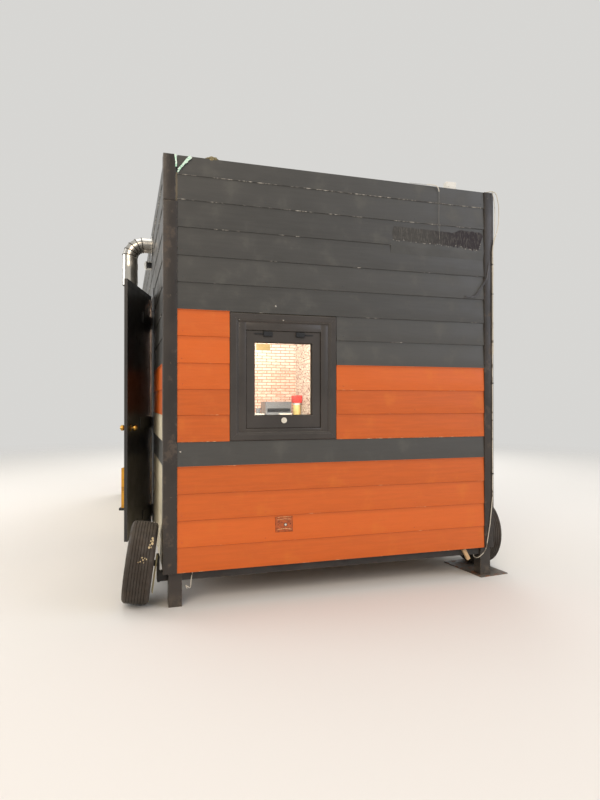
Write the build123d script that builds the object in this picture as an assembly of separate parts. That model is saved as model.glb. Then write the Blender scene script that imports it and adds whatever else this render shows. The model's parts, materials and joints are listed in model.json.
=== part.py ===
from build123d import *
import math
import os

# Timber-clad street kiosk on a steel chassis with four legs and four wheels.
# Millimetres, +Z up. The origin is on the ground under the middle of the body.
# X runs across the end wall that has the window, Y runs along the body away from it.

os.makedirs("parts", exist_ok=True)

# Body
body_width = 2500.0
body_length = 5100.0
wall_bottom = 230.0
wall_top = 2870.0
wall_thickness = 80.0
cladding_depth = 28.0
roof_thickness = 55.0
roof_trim_height = 52.0
roof_trim_width = 45.0
floor_thickness = 80.0

# Fits
fit_gap = 0.3
seat_gap = 0.3
cut_reach = 10.0

# Corner boards
corner_board_width_left = 90.0
corner_board_width_right = 80.0
corner_board_side_width = 85.0

# Chassis
leg_size = 87.0
leg_wall = 5.0
leg_inset_left = 82.5
leg_inset_right = 43.5
leg_inset_y = 88.5
foot_thickness = 8.0
beam_width = 60.0
beam_height = 60.0
beam_wall = 5.0
cross_member_count = 3
packing_plate_thickness = 8.0
packing_plate_width = 260.0
packing_plate_length = 460.0
packing_plate_turn = 6.0
packing_plate_inset = 20.0

# Wheels
tyre_radius = 270.0
tyre_width = 178.0
tyre_shoulder = 18.0
tyre_shoulder_draft = 3.0
tyre_bulge_rise = 6.0
bead_step = 2.0
bead_rise = 14.0
bead_radius = 178.0
bead_width = 130.0
rim_flange = 12.0
rim_bead_play = 3.0
rim_gauge = 6.0
rim_disc_offset = 30.0
hub_radius = 42.0
hub_depth = 58.0
hub_floor = 4.0
hub_cap_radius = 30.0
hub_cap_end_radius = 24.0
hub_cap_length = 26.0
spindle_radius = 20.0
spindle_gap = 0.5
spindle_end_gap = 6.0
spindle_lean_reach = 4.0
ground_gap = 2.0
wheel_out = 135.0
front_right_wheel_out = 96.0
left_setback = 185.0
right_setback = 400.0
front_left_lean = 7.5
front_left_toe = 5.0
bracket_height = 60.0
bracket_width = 90.0
bracket_gauge = 16.0
bracket_wall_gap = 12.0
bracket_drop = 24.0

# Window in the end wall
window_left = 438.0
window_width = 765.0
window_bottom = 1090.0
window_height = 870.0
casing_width = 62.0
casing_proud = 26.0
casing_bevel = 8.0
frame_width_side = 52.0
frame_width_bottom = 20.0
frame_width_top = 52.0
frame_depth = 70.0
frame_recess = 12.0
sash_width_side = 62.0
sash_width_bottom = 90.0
sash_width_top = 82.0
sash_depth = 46.0
sash_recess = 20.0
glass_thickness = 6.0
glass_rebate = 10.0
window_hinge_width = 62.0
window_hinge_height = 34.0
window_hinge_proud = 16.0
window_hinge_spacing = 234.0
window_rod_radius = 4.0
window_rod_length = 62.0
window_hinge_drop = 6.0
window_hinge_chamfer = 3.0
sash_chamfer = 4.0
glass_setback = 28.0
lock_radius = 20.0
lock_proud = 7.0
lock_chamfer = 2.0
lock_key_radius = 11.0
lock_key_depth = 2.0
lock_rise = 54.0

# Door
hinge_y = -1158.0
hinge_out = 6.0
door_width = 748.0
door_height = 1973.0
door_bottom = 307.0
door_thickness = 24.0
door_border = 45.0
door_panel_thickness = 20.0
door_open = 164.0
edge_gap_hinge = 8.0
edge_gap_latch = 6.0
hinge_face_gap = 4.0
stop_gap = 4.0
stop_width = 15.0
jamb_width = 60.0
strap_height = 84.0
strap_thickness = 6.0
strap_length = 300.0
middle_strap_length = 390.0
strap_heights = (420.0, 1185.0, 2055.0)
knuckle_radius = 9.0
pin_radius = 5.0
pin_gap = 0.4
pintle_plate_width = 48.0
pintle_plate_height = 60.0
pintle_plate_gauge = 5.0
pintle_weld = 1.0
pintle_boss_height = 22.0
pintle_gap = 1.5
notch_gap = 2.0
knob_from_edge = 85.0
knob_height = 1157.0
knob_radius = 22.0
knob_length = 52.0
knob_neck_end = 20.0
knob_swell = 29.0
knob_face = 43.0
knob_face_radius = 13.0
knob_neck_radius = 10.0
knob_rose_radius = 27.0
knob_rose_thickness = 5.0
knob_rose_cone = 3.0
spindle_overlap = 1.0
knob_gap = 0.4
ledge_proud = 50.0
ledge_thickness = 18.0
ledge_width = 200.0
ledge_from_edge = 40.0
ledge_height = 553.0
tray_thickness = 34.0
tray_height = 300.0
tray_gap = 0.3
tray_side_inset = 8.0

# Duct
duct_radius = 66.0
duct_wall = 1.5
duct_y = -950.0
duct_below_wall_top = 90.0
duct_stand_off = 190.0
duct_bend_radius = 125.0
duct_gores = 5
duct_pipe_length = 280.0
duct_into_room = 10.0
duct_sleeve = 40.0
collar_radius = 92.0
collar_thickness = 3.0

# Small fittings
wall_lamp_y = -720.0
wall_lamp_z = 2650.0
wall_lamp_size = 70.0
wall_lamp_depth = 88.0
wall_lamp_chamfer = 14.0
roof_box_from_side = 353.0
roof_box_width = 83.0
roof_box_height = 60.0
roof_box_chamfer = 5.0
plate_left = 755.0
plate_width = 124.0
plate_bottom = 457.5
plate_height = 104.5
plate_thickness = 14.0
plate_packing = 10.0
plate_chamfer = 3.0

# Cables
cable_radius = 3.5
cable_clearance = 1.0
cable_edge_inset = 12.0
cable_arc = 400.0
cable_stub = 34.0
cable_below_beam = 26.0
clip_heights = (2420.0, 2190.0, 1500.0, 800.0)
clip_width = 14.0
clip_length = 10.0
clip_gauge = 2.0
thin_cable_radius = 2.5
thin_cable_arc = 80.0
thin_cable_drop = 707.0
thin_cable_from_side = 253.0
thin_cable_spacing = 12.0
thin_cable_spread = 26.0

# Room
counter_depth = 520.0
counter_top_z = 1150.0
counter_thickness = 36.0
counter_panel_thickness = 30.0
counter_panel_count = 3
counter_gap = 0.3
lamp_length = 1200.0
lamp_width = 90.0
lamp_height = 45.0
machine_width = 410.0
machine_depth = 320.0
machine_height = 210.0
machine_x = 740.0
machine_setback = 90.0
machine_corner = 18.0
counter_panel_setback = 30.0

# Worked out from the sizes above
half_width = body_width / 2
half_length = body_length / 2
wall_x = half_width - cladding_depth
wall_y = half_length - cladding_depth
room_x = wall_x - wall_thickness
room_y = wall_y - wall_thickness
floor_top = wall_bottom + floor_thickness
roof_top = wall_top + roof_thickness
hinge_x = -(half_width + hinge_out)
door_top = door_bottom + door_height
trim_top = roof_top + roof_trim_height
duct_z = wall_top - duct_below_wall_top
casing_face = wall_y + casing_proud


def block(x0, x1, y0, y1, z0, z1):
    centre = Pos((x0 + x1) / 2, (y0 + y1) / 2, (z0 + z1) / 2)
    return centre * Box(abs(x1 - x0), abs(y1 - y0), abs(z1 - z0))


def save(name, *solids):
    shape = solids[0] if len(solids) == 1 else Compound(children=list(solids))
    export_step(shape, "parts/" + name + ".step")


def square_tube(width, depth, gauge, length):
    """A hollow box section that runs up from the XY plane."""
    outer = Rectangle(width, depth)
    inner = Rectangle(width - 2 * gauge, depth - 2 * gauge)
    return extrude(outer - inner, length)


def beam_along_y(x, y0, y1, top):
    tube = square_tube(beam_width, beam_height, beam_wall, y1 - y0)
    return Pos(x, y0, top - beam_height / 2) * Rot(-90, 0, 0) * tube


def beam_along_x(y, x0, x1, top):
    tube = square_tube(beam_height, beam_width, beam_wall, x1 - x0)
    return Pos(x0, y, top - beam_height / 2) * Rot(0, 90, 0) * tube


def frame_in_wall(outer, inner, y0, y1):
    """A rectangular ring, each rectangle given as x0, x1, z0, z1."""
    ring = block(*outer[:2], y0, y1, *outer[2:])
    reach = abs(y1 - y0)
    return ring - block(*inner[:2], min(y0, y1) - reach, max(y0, y1) + reach, *inner[2:])


def inset(rect, left, right, bottom, top):
    return (rect[0] + left, rect[1] - right, rect[2] + bottom, rect[3] - top)


# Chassis of hollow steel sections between four legs
leg_xs = {-1: leg_inset_left - half_width, 1: half_width - leg_inset_right}
leg_y = half_length - leg_inset_y


def leg(x, y, foot_bottom):
    tube = square_tube(leg_size, leg_size, leg_wall, wall_bottom - foot_bottom - foot_thickness)
    foot = Box(leg_size, leg_size, foot_thickness)
    raised = Pos(x, y, foot_bottom + foot_thickness) * tube
    return raised + Pos(x, y, foot_bottom + foot_thickness / 2) * foot


legs = []
for side in (-1, 1):
    for end in (-1, 1):
        on_plate = side > 0 and end < 0
        legs.append(leg(leg_xs[side], end * leg_y, packing_plate_thickness if on_plate else 0.0))
save("legs", *legs)

rail_end = leg_y - leg_size / 2
rails = [beam_along_y(leg_xs[side], -rail_end, rail_end, wall_bottom) for side in (-1, 1)]
save("side_rails", *rails)

between_legs = (leg_xs[-1] + leg_size / 2, leg_xs[1] - leg_size / 2)
between_rails = (leg_xs[-1] + beam_width / 2, leg_xs[1] - beam_width / 2)
members = [beam_along_x(end * leg_y, *between_legs, wall_bottom) for end in (-1, 1)]
for i in range(cross_member_count):
    y = -rail_end + (i + 1) * 2 * rail_end / (cross_member_count + 1)
    members.append(beam_along_x(y, *between_rails, wall_bottom))
save("cross_members", *members)

plate = Box(packing_plate_width, packing_plate_length, packing_plate_thickness)
plate_x = leg_xs[1] + packing_plate_width / 2 - leg_size
plate_y = -half_length + packing_plate_length / 2 + packing_plate_inset
save(
    "packing_plate",
    Pos(plate_x, plate_y, packing_plate_thickness / 2) * Rot(0, 0, packing_plate_turn) * plate,
)

save("floor_deck", block(-room_x, room_x, -room_y, room_y, wall_bottom, floor_top))

# Walls
window_outer = (
    -half_width + window_left,
    -half_width + window_left + window_width,
    window_bottom,
    window_bottom + window_height,
)
wall_hole = inset(window_outer, casing_width, casing_width, casing_width, casing_width)
jamb_start = hinge_y - jamb_width
rebate_end = hinge_y + edge_gap_hinge + door_width + edge_gap_latch
jamb_end = rebate_end + jamb_width
head_bottom = door_top + edge_gap_latch
head_top = head_bottom + jamb_width

save(
    "front_wall",
    block(-wall_x, wall_x, -wall_y, -room_y, wall_bottom, wall_top)
    - block(*wall_hole[:2], -wall_y - cut_reach, -room_y + cut_reach, *wall_hole[2:]),
)
save("back_wall", block(-wall_x, wall_x, room_y, wall_y, wall_bottom, wall_top))
save("right_wall", block(room_x, wall_x, -room_y, room_y, wall_bottom, wall_top))
save("left_wall_front", block(-wall_x, -room_x, -room_y, jamb_start, wall_bottom, wall_top))
save("left_wall_back", block(-wall_x, -room_x, jamb_end, room_y, wall_bottom, wall_top))
over_door = block(-wall_x, -room_x, jamb_start, jamb_end, head_top, wall_top)
duct_bore = Cylinder(duct_radius + fit_gap, 3 * wall_thickness)
duct_hole = Pos(-wall_x, duct_y, duct_z) * Rot(0, 90, 0) * duct_bore
save("left_wall_over_door", over_door - duct_hole)

# Roof
save("roof_deck", block(-wall_x, wall_x, -wall_y, wall_y, wall_top, roof_top))
trim_side = wall_x - roof_trim_width
save(
    "end_roof_trims",
    *[
        block(-wall_x, wall_x, end * wall_y, end * (wall_y - roof_trim_width), roof_top, trim_top)
        for end in (-1, 1)
    ],
)
side_trim_reach = wall_y - roof_trim_width
save(
    "side_roof_trims",
    *[
        block(side * trim_side, side * wall_x, -side_trim_reach, side_trim_reach, roof_top, trim_top)
        for side in (-1, 1)
    ],
)


# Corner boards, two boards that meet in an L round each corner
def corner_board(side, end, face_width):
    outer_x = side * half_width
    outer_y = end * half_length
    front = block(
        outer_x,
        outer_x - side * face_width,
        outer_y,
        outer_y - end * cladding_depth,
        wall_bottom,
        trim_top,
    )
    flank = block(
        outer_x,
        outer_x - side * cladding_depth,
        outer_y - end * (cladding_depth + fit_gap),
        outer_y - end * corner_board_side_width,
        wall_bottom,
        trim_top,
    )
    return [front, flank]


for end, name in ((-1, "front_corner_boards"), (1, "back_corner_boards")):
    save(
        name,
        *corner_board(-1, end, corner_board_width_left),
        *corner_board(1, end, corner_board_width_right),
    )

# Window: casing, fixed frame, top-hung sash, glass, hinges and lock
casing = frame_in_wall(window_outer, wall_hole, -wall_y, -casing_face)
front_edges = casing.edges().filter_by(lambda e: abs(e.center().Y + casing_face) < 0.01)
save("window_casing", chamfer(front_edges, casing_bevel))

frame_outer = inset(wall_hole, fit_gap, fit_gap, fit_gap, fit_gap)
frame_inner = inset(
    frame_outer, frame_width_side, frame_width_side, frame_width_bottom, frame_width_top
)
frame_front = -casing_face + frame_recess
save("window_frame", frame_in_wall(frame_outer, frame_inner, frame_front, frame_front + frame_depth))

sash_outer = inset(frame_inner, fit_gap, fit_gap, fit_gap, fit_gap)
sash_inner = inset(sash_outer, sash_width_side, sash_width_side, sash_width_bottom, sash_width_top)
sash_front = -casing_face + sash_recess
sash_back = sash_front + sash_depth
glass_y = sash_front + glass_setback
pane = inset(sash_inner, -glass_rebate, -glass_rebate, -glass_rebate, -glass_rebate)
groove = block(
    pane[0] - seat_gap,
    pane[1] + seat_gap,
    glass_y - glass_thickness / 2 - seat_gap,
    glass_y + glass_thickness / 2 + seat_gap,
    pane[2] - seat_gap,
    pane[3] + seat_gap,
)
sash = frame_in_wall(sash_outer, sash_inner, sash_front, sash_back)
inner_edges = sash.edges().filter_by(lambda e: abs(e.center().Y - sash_front) < 0.01)
save("window_sash", chamfer(inner_edges, sash_chamfer) - groove)
save(
    "window_glass",
    block(
        pane[0],
        pane[1],
        glass_y - glass_thickness / 2,
        glass_y + glass_thickness / 2,
        pane[2],
        pane[3],
    ),
)

window_mid = (sash_outer[0] + sash_outer[1]) / 2
hinge_z = sash_outer[3] - window_hinge_height / 2 - window_hinge_drop
hinge_face = sash_front - window_hinge_proud


def window_hinge(side):
    x = window_mid + side * window_hinge_spacing / 2
    body = Pos(x, sash_front - window_hinge_proud / 2, hinge_z) * Box(
        window_hinge_width, window_hinge_proud, window_hinge_height
    )
    front = body.edges().filter_by(lambda e: e.center().Y < hinge_face + 0.01)
    body = chamfer(front, window_hinge_chamfer)
    rod_x = x + side * (window_hinge_width + window_rod_length) / 2
    rod = Pos(rod_x, sash_front - window_rod_radius, hinge_z) * Rot(0, 90, 0)
    return body + rod * Cylinder(window_rod_radius, window_rod_length)


save("window_hinges", window_hinge(-1), window_hinge(1))

lock_z = sash_outer[2] + lock_rise
lock = Cylinder(lock_radius, lock_proud)
lock = chamfer(lock.faces().sort_by(Axis.Z)[-1].edges(), lock_chamfer)
lock -= Pos(0, 0, lock_proud / 2) * Cylinder(lock_key_radius, 2 * lock_key_depth)
save("window_lock", Pos(window_mid, sash_front - lock_proud / 2, lock_z) * Rot(90, 0, 0) * lock)

# Door frame: two rebated jambs, a head and a sill
casing_out = -half_width
stop_x = hinge_x + hinge_face_gap + door_thickness + stop_gap


def jamb_profile(face, outward):
    """Plan of a jamb whose rebate face is at y = face and whose body lies on the outward side."""
    points = [
        (casing_out, face),
        (casing_out, face + outward * jamb_width),
        (-room_x, face + outward * jamb_width),
        (-room_x, face - outward * stop_width),
        (stop_x, face - outward * stop_width),
        (stop_x, face),
    ]
    return make_face(Polyline(*points, close=True))


jamb_height = head_top - wall_bottom
notch = Cylinder(knuckle_radius + notch_gap, strap_height + 2 * (pintle_gap + pintle_boss_height))


def jamb(face, outward):
    return Pos(0, 0, wall_bottom) * extrude(jamb_profile(face, outward), jamb_height, dir=(0, 0, 1))


hinge_jamb = jamb(hinge_y, -1)
for z in strap_heights:
    hinge_jamb -= Pos(hinge_x, hinge_y, z) * notch
latch_jamb = jamb(rebate_end, 1)
jambs = [hinge_jamb, latch_jamb]
save("door_jambs", *jambs)
head = block(casing_out, -room_x, hinge_y, rebate_end, head_bottom, head_top)
stop_start = hinge_y + stop_width
stop_end = rebate_end - stop_width
head_stop = block(stop_x, -room_x, stop_start, stop_end, head_bottom - stop_width, head_bottom)
save("door_head", head + head_stop - jambs[0] - jambs[1])
sill_top = door_bottom - edge_gap_latch
sill = block(casing_out, -room_x, hinge_y, rebate_end, wall_bottom, sill_top)
sill_stop = block(stop_x, -room_x, stop_start, stop_end, sill_top, floor_top)
save("door_sill", sill + sill_stop - jambs[0] - jambs[1])

# Door leaf, drawn shut and then swung to the pose in the photograph
swing = Pos(hinge_x, hinge_y, 0) * Rot(0, 0, door_open)
leaf_face = hinge_face_gap
leaf_back = leaf_face + door_thickness
leaf_start = edge_gap_hinge
leaf_end = leaf_start + door_width
panel_recess = (door_thickness - door_panel_thickness) / 2

leaf = block(leaf_face, leaf_back, leaf_start, leaf_end, door_bottom, door_top)
for face, depth in ((leaf_face, panel_recess), (leaf_back, -panel_recess)):
    leaf -= block(
        face,
        face + depth,
        leaf_start + door_border,
        leaf_end - door_border,
        door_bottom + door_border,
        door_top - door_border,
    )
knob_y = leaf_end - knob_from_edge
knob_hole = Pos((leaf_face + leaf_back) / 2, knob_y, knob_height) * Rot(0, 90, 0)
leaf -= knob_hole * Cylinder(knob_neck_radius + knob_gap, 2 * door_thickness)
for z in strap_heights:
    leaf -= Pos(0, 0, z) * notch
save("door_leaf", swing * leaf)


def strap(z, length):
    bar = block(
        leaf_face - strap_thickness,
        leaf_face,
        0,
        leaf_start + length,
        z - strap_height / 2,
        z + strap_height / 2,
    )
    eye = Pos(0, 0, z) * Cylinder(knuckle_radius, strap_height)
    bore = Pos(0, 0, z) * Cylinder(pin_radius + pin_gap, strap_height + cut_reach)
    return bar + eye - bore


straps = [
    strap(z, middle_strap_length if z == strap_heights[1] else strap_length) for z in strap_heights
]
save("door_straps", *[swing * s for s in straps])


def pintle(z):
    top = z - strap_height / 2 - pintle_gap
    plate = block(
        hinge_out - pintle_plate_gauge,
        hinge_out,
        -pintle_plate_width,
        0,
        top - pintle_plate_height,
        top,
    )
    boss = Pos(0, 0, top - pintle_boss_height / 2) * Cylinder(knuckle_radius, pintle_boss_height)
    pin_length = strap_height + pintle_gap + pintle_boss_height
    pin = Pos(0, 0, top + pin_length / 2 - pintle_boss_height) * Cylinder(pin_radius, pin_length)
    inside = Cylinder(knuckle_radius - pintle_weld, 2 * pintle_plate_height)
    trimmed = plate - Pos(0, 0, top) * inside
    return Pos(hinge_x, hinge_y, 0) * (trimmed + boss + pin)


save("door_pintles", *[pintle(z) for z in strap_heights])

# Door knobs on one spindle through the leaf
knob_profile = make_face(
    Polyline(
        (0, 0),
        (0, knob_rose_radius),
        (knob_rose_thickness, knob_rose_radius),
        (knob_rose_thickness + knob_rose_cone, knob_neck_radius),
        (knob_neck_end, knob_neck_radius),
        (knob_swell, knob_radius),
        (knob_face, knob_radius),
        (knob_length, knob_face_radius),
        (knob_length, 0),
        close=True,
    )
)
knob = revolve(Plane.XY * knob_profile, Axis.X)
spindle = Rot(0, 90, 0) * Cylinder(knob_neck_radius, door_thickness + 2 * spindle_overlap)
knob_outer = Pos(leaf_face - knob_gap, knob_y, knob_height) * Rot(0, 0, 180) * knob
knob_inner = Pos(leaf_back + knob_gap, knob_y, knob_height) * knob
knob_spindle = Pos((leaf_face + leaf_back) / 2, knob_y, knob_height) * spindle
save("door_knob", swing * (knob_outer + knob_spindle + knob_inner))

# Ledge and leaning tray on the inner face of the leaf
ledge_end = leaf_end - ledge_from_edge
ledge_x = leaf_back
ledge_start = ledge_end - ledge_width
ledge_under = ledge_height - ledge_thickness
ledge = block(ledge_x, ledge_x + ledge_proud, ledge_start, ledge_end, ledge_under, ledge_height)
save("door_ledge", swing * ledge)
tray = block(
    ledge_x + tray_gap,
    ledge_x + tray_gap + tray_thickness,
    ledge_start + tray_side_inset,
    ledge_end - tray_side_inset,
    ledge_height + tray_gap,
    ledge_height + tray_gap + tray_height,
)
save("door_tray", swing * tray)


# Wheels: each is made round the X axis with its outer side towards +X, then placed
def tyre_solid():
    half = tyre_width / 2
    bead_half = bead_width / 2
    bulge_radius = (bead_radius + tyre_radius) / 2 + tyre_bulge_rise
    points = [
        (-bead_half, bead_radius + seat_gap),
        (bead_half, bead_radius + seat_gap),
        (bead_half + bead_step, bead_radius + bead_rise),
        (half, bulge_radius),
        (half - tyre_shoulder_draft, tyre_radius - tyre_shoulder),
        (half - tyre_shoulder, tyre_radius),
        (-half + tyre_shoulder, tyre_radius),
        (-half + tyre_shoulder_draft, tyre_radius - tyre_shoulder),
        (-half, bulge_radius),
        (-bead_half - bead_step, bead_radius + bead_rise),
    ]
    return revolve(make_face(Polyline(*points, close=True)), Axis.X)


def rim_solid():
    flange_x = bead_width / 2 + rim_bead_play
    inner = bead_radius - rim_gauge
    disc = rim_disc_offset
    points = [
        (-flange_x - rim_gauge, bead_radius + rim_flange),
        (-flange_x, bead_radius + rim_flange),
        (-flange_x, bead_radius),
        (flange_x, bead_radius),
        (flange_x, bead_radius + rim_flange),
        (flange_x + rim_gauge, bead_radius + rim_flange),
        (flange_x + rim_gauge, inner),
        (disc + rim_gauge, inner),
        (disc + rim_gauge, hub_cap_radius),
        (disc + rim_gauge + hub_cap_length, hub_cap_end_radius),
        (disc + rim_gauge + hub_cap_length, 0),
        (disc - hub_floor, 0),
        (disc - hub_floor, spindle_radius + spindle_gap),
        (disc - hub_depth, spindle_radius + spindle_gap),
        (disc - hub_depth, hub_radius),
        (disc, hub_radius),
        (disc, inner),
        (-flange_x - rim_gauge, inner),
    ]
    return revolve(make_face(Polyline(*points, close=True)), Axis.X)


wheel_z = tyre_radius + ground_gap
left_y = half_length - left_setback
right_y = half_length - right_setback

# Side, distance out from the body, place along it, lift, lean and toe of each wheel
wheels = {
    "front_left": (-1, wheel_out, -left_y, 0.0, front_left_lean, front_left_toe),
    "front_right": (1, front_right_wheel_out, -right_y, packing_plate_thickness, 0.0, 0.0),
    "rear_left": (-1, wheel_out, left_y, 0.0, 0.0, 0.0),
    "rear_right": (1, wheel_out, right_y, 0.0, 0.0, 0.0),
}


def wheel_place(side, out, y, lift, lean, toe):
    """Places a wheel. A lean tips its top towards the body and toe turns its leading edge out."""
    tilt = math.radians(lean)
    tread_half = tyre_width / 2 - tyre_shoulder
    drop = tyre_radius * (1 - math.cos(tilt)) - tread_half * math.sin(tilt)
    place = Pos(side * (half_width + out), y, wheel_z + lift - drop)
    if side < 0:
        return place * Rot(0, 0, -toe) * Rot(0, lean, 0) * Rot(0, 0, 180)
    return place


tyre = tyre_solid()
rim = rim_solid()
brackets = []
for name, wheel in wheels.items():
    side, out, y, lift, lean, toe = wheel
    place = wheel_place(*wheel)
    save("tyre_" + name, place * tyre)
    save("rim_" + name, place * rim)
    rail_face = leg_xs[side] + side * beam_width / 2
    plate_in = side * (half_width + bracket_wall_gap)
    plate_out = plate_in + side * bracket_gauge
    beam_top = wall_bottom - bracket_drop
    arm = block(
        rail_face,
        plate_out,
        y - bracket_height / 2,
        y + bracket_height / 2,
        beam_top - bracket_height,
        beam_top,
    )
    upright = block(
        plate_in,
        plate_out,
        y - bracket_width / 2,
        y + bracket_width / 2,
        beam_top - bracket_height,
        wheel_z + bracket_width / 2,
    )
    spindle_out = rim_disc_offset - spindle_end_gap
    spindle_in = -(out - bracket_wall_gap - bracket_gauge / 2)
    if side < 0:
        spindle_in -= spindle_lean_reach
    shaft = Rot(0, 90, 0) * Cylinder(spindle_radius, spindle_out - spindle_in)
    shaft = place * Pos((spindle_out + spindle_in) / 2, 0, 0) * shaft
    brackets.append(arm + upright + shaft)
save("wheel_brackets", *brackets)

# Duct: collar on the wall, gored elbow with its sleeve through the wall, straight pipe
bend_x = -half_width - duct_stand_off
collar = Cylinder(collar_radius, collar_thickness)
collar -= Cylinder(duct_radius + seat_gap, collar_thickness + cut_reach)
collar_x = -half_width - collar_thickness / 2
save("duct_collar", Pos(collar_x, duct_y, duct_z) * Rot(0, 90, 0) * collar)

# The elbow's centre line is a polygon round the bend, mitred at each gore
gore_angle = math.radians(90.0 / duct_gores)
reach = duct_bend_radius / math.cos(gore_angle / 2)
centre_x = bend_x + duct_bend_radius
centre_z = duct_z - duct_bend_radius
route = [(-room_x + duct_into_room, duct_z)]
for i in range(duct_gores):
    angle = math.pi / 2 + (i + 0.5) * gore_angle
    route.append((centre_x + reach * math.cos(angle), centre_z + reach * math.sin(angle)))
pipe_top = centre_z - duct_sleeve
route.append((bend_x, pipe_top))
path = Polyline(*[(x, duct_y, z) for x, z in route])


def duct_along(line, radius):
    profile = Plane(origin=line @ 0, z_dir=line % 0) * Circle(radius)
    return sweep(profile, path=line, transition=Transition.RIGHT)


save("duct_elbow", duct_along(path, duct_radius) - duct_along(path, duct_radius - duct_wall))
pipe = Cylinder(duct_radius, duct_pipe_length) - Cylinder(duct_radius - duct_wall, duct_pipe_length)
save("duct_pipe", Pos(bend_x, duct_y, pipe_top - duct_pipe_length / 2) * pipe)

# Lamp on the side wall above the door, box on the roof edge, blanking plate
lamp = block(
    -wall_x - wall_lamp_depth,
    -wall_x,
    wall_lamp_y - wall_lamp_size / 2,
    wall_lamp_y + wall_lamp_size / 2,
    wall_lamp_z - wall_lamp_size / 2,
    wall_lamp_z + wall_lamp_size / 2,
)
save("wall_lamp", chamfer(lamp.faces().sort_by(Axis.X)[0].edges(), wall_lamp_chamfer))

roof_box_x = half_width - roof_box_from_side
roof_box = block(
    roof_box_x - roof_box_width / 2,
    roof_box_x + roof_box_width / 2,
    -wall_y,
    -wall_y + roof_trim_width,
    trim_top,
    trim_top + roof_box_height,
)
save("roof_box", chamfer(roof_box.faces().sort_by(Axis.Z)[-1].edges(), roof_box_chamfer))

plate_x0 = -half_width + plate_left
blank = block(
    plate_x0,
    plate_x0 + plate_width,
    -wall_y - plate_thickness - plate_packing,
    -wall_y,
    plate_bottom,
    plate_bottom + plate_height,
)
save("blanking_plate", chamfer(blank.faces().sort_by(Axis.Y)[0].edges(), plate_chamfer))


def cable(points, radius, largest):
    """A round cable along straight runs with an arc at each corner, as large as its runs allow."""
    corners = [Vector(*p) for p in points]
    radii = []
    for before, here, after in zip(corners, corners[1:], corners[2:]):
        turn = math.radians((here - before).get_angle(after - here))
        shorter = min((here - before).length, (after - here).length)
        radii.append(min(largest, 0.45 * shorter / math.tan(turn / 2)))
    line = FilletPolyline(*corners, radius=radii)
    print("cable radii", [round(r) for r in radii], "length", round(line.length))
    return sweep(Plane(origin=line @ 0, z_dir=line % 0) * Circle(radius), path=line)


# Cable from the roof box round the corner, down the corner board and under the floor
run_x = half_width - cable_edge_inset
run_y = -half_length - cable_radius - cable_clearance
top_y = -wall_y + roof_trim_width / 2
top_z = trim_top + cable_radius + cable_clearance
box_side = roof_box_x + roof_box_width / 2
beam_face = -leg_y - beam_width / 2
cable_end_x = leg_xs[1] - leg_size / 2 - cable_stub
beam_under = wall_bottom - beam_height
sag_z = beam_under - cable_below_beam
cable_points = [
    (box_side, top_y, top_z),
    (half_width - 70, top_y, top_z),
    (half_width + 20, -half_length + 2, top_z + 22),
    (half_width + 46, -half_length - 8, trim_top - 97),
    (half_width + 40, run_y - 6, trim_top - 262),
    (run_x, run_y, trim_top - 417),
    (run_x, run_y, wall_bottom + 390),
    (run_x - 24, run_y, wall_bottom + 179),
    (run_x - 62, run_y - 1, wall_bottom - 24),
    (cable_end_x, beam_face - 25, sag_z),
    (cable_end_x, -leg_y, sag_z),
    (cable_end_x, -leg_y, beam_under),
]
save("corner_cable", cable(cable_points, cable_radius, cable_arc))

clips = []
for z in clip_heights:
    back = -half_length
    outer = block(
        run_x - clip_width / 2,
        run_x + clip_width / 2,
        run_y - cable_radius - clip_gauge,
        back,
        z - clip_length / 2,
        z + clip_length / 2,
    )
    slot = block(
        run_x - cable_radius - seat_gap,
        run_x + cable_radius + seat_gap,
        run_y - cable_radius - seat_gap,
        back,
        z - clip_length,
        z + clip_length,
    )
    clips.append(outer - slot)
save("cable_clips", *clips)

# Two thin cables from the end wall round to the corner board
thin = []
hole_x = half_width - thin_cable_from_side
thin_y = -half_length - thin_cable_radius - cable_clearance
for drop, lift in ((0.0, 0.0), (thin_cable_spacing, thin_cable_spread)):
    hole_z = wall_top - thin_cable_drop - drop
    route = [
        (hole_x, -wall_y, hole_z),
        (hole_x, thin_y, hole_z),
        (hole_x + 90, thin_y, hole_z - 13 + lift),
        (half_width - 60, thin_y, hole_z + 137 + lift),
        (half_width - 42, thin_y, hole_z + 247 + drop + lift),
    ]
    thin.append(cable(route, thin_cable_radius, thin_cable_arc))
save("wall_cables", *thin)

# Counter along the far wall with what stands on it, and the ceiling lamp
counter_front = room_y - counter_depth
save(
    "counter_top",
    block(
        -room_x + counter_gap,
        room_x - counter_gap,
        counter_front,
        room_y - counter_gap,
        counter_top_z - counter_thickness,
        counter_top_z,
    ),
)
panels = []
for i in range(counter_panel_count):
    span = 2 * room_x - 2 * counter_gap - counter_panel_thickness
    x = -room_x + counter_gap + i * span / (counter_panel_count - 1)
    panels.append(
        block(
            x,
            x + counter_panel_thickness,
            counter_front + counter_panel_setback,
            room_y - counter_gap,
            floor_top,
            counter_top_z - counter_thickness,
        )
    )
save("counter_panels", *panels)
machine = block(
    machine_x - machine_width / 2,
    machine_x + machine_width / 2,
    counter_front + machine_setback,
    counter_front + machine_setback + machine_depth,
    counter_top_z,
    counter_top_z + machine_height,
)
save("counter_machine", fillet(machine.edges().filter_by(Axis.Z), machine_corner))
save(
    "ceiling_lamp",
    block(
        -lamp_width / 2,
        lamp_width / 2,
        -lamp_length / 2,
        lamp_length / 2,
        wall_top - lamp_height,
        wall_top,
    ),
)
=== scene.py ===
import json
import math
import random

import bmesh
import bpy
from mathutils import Matrix, Vector, noise


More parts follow.
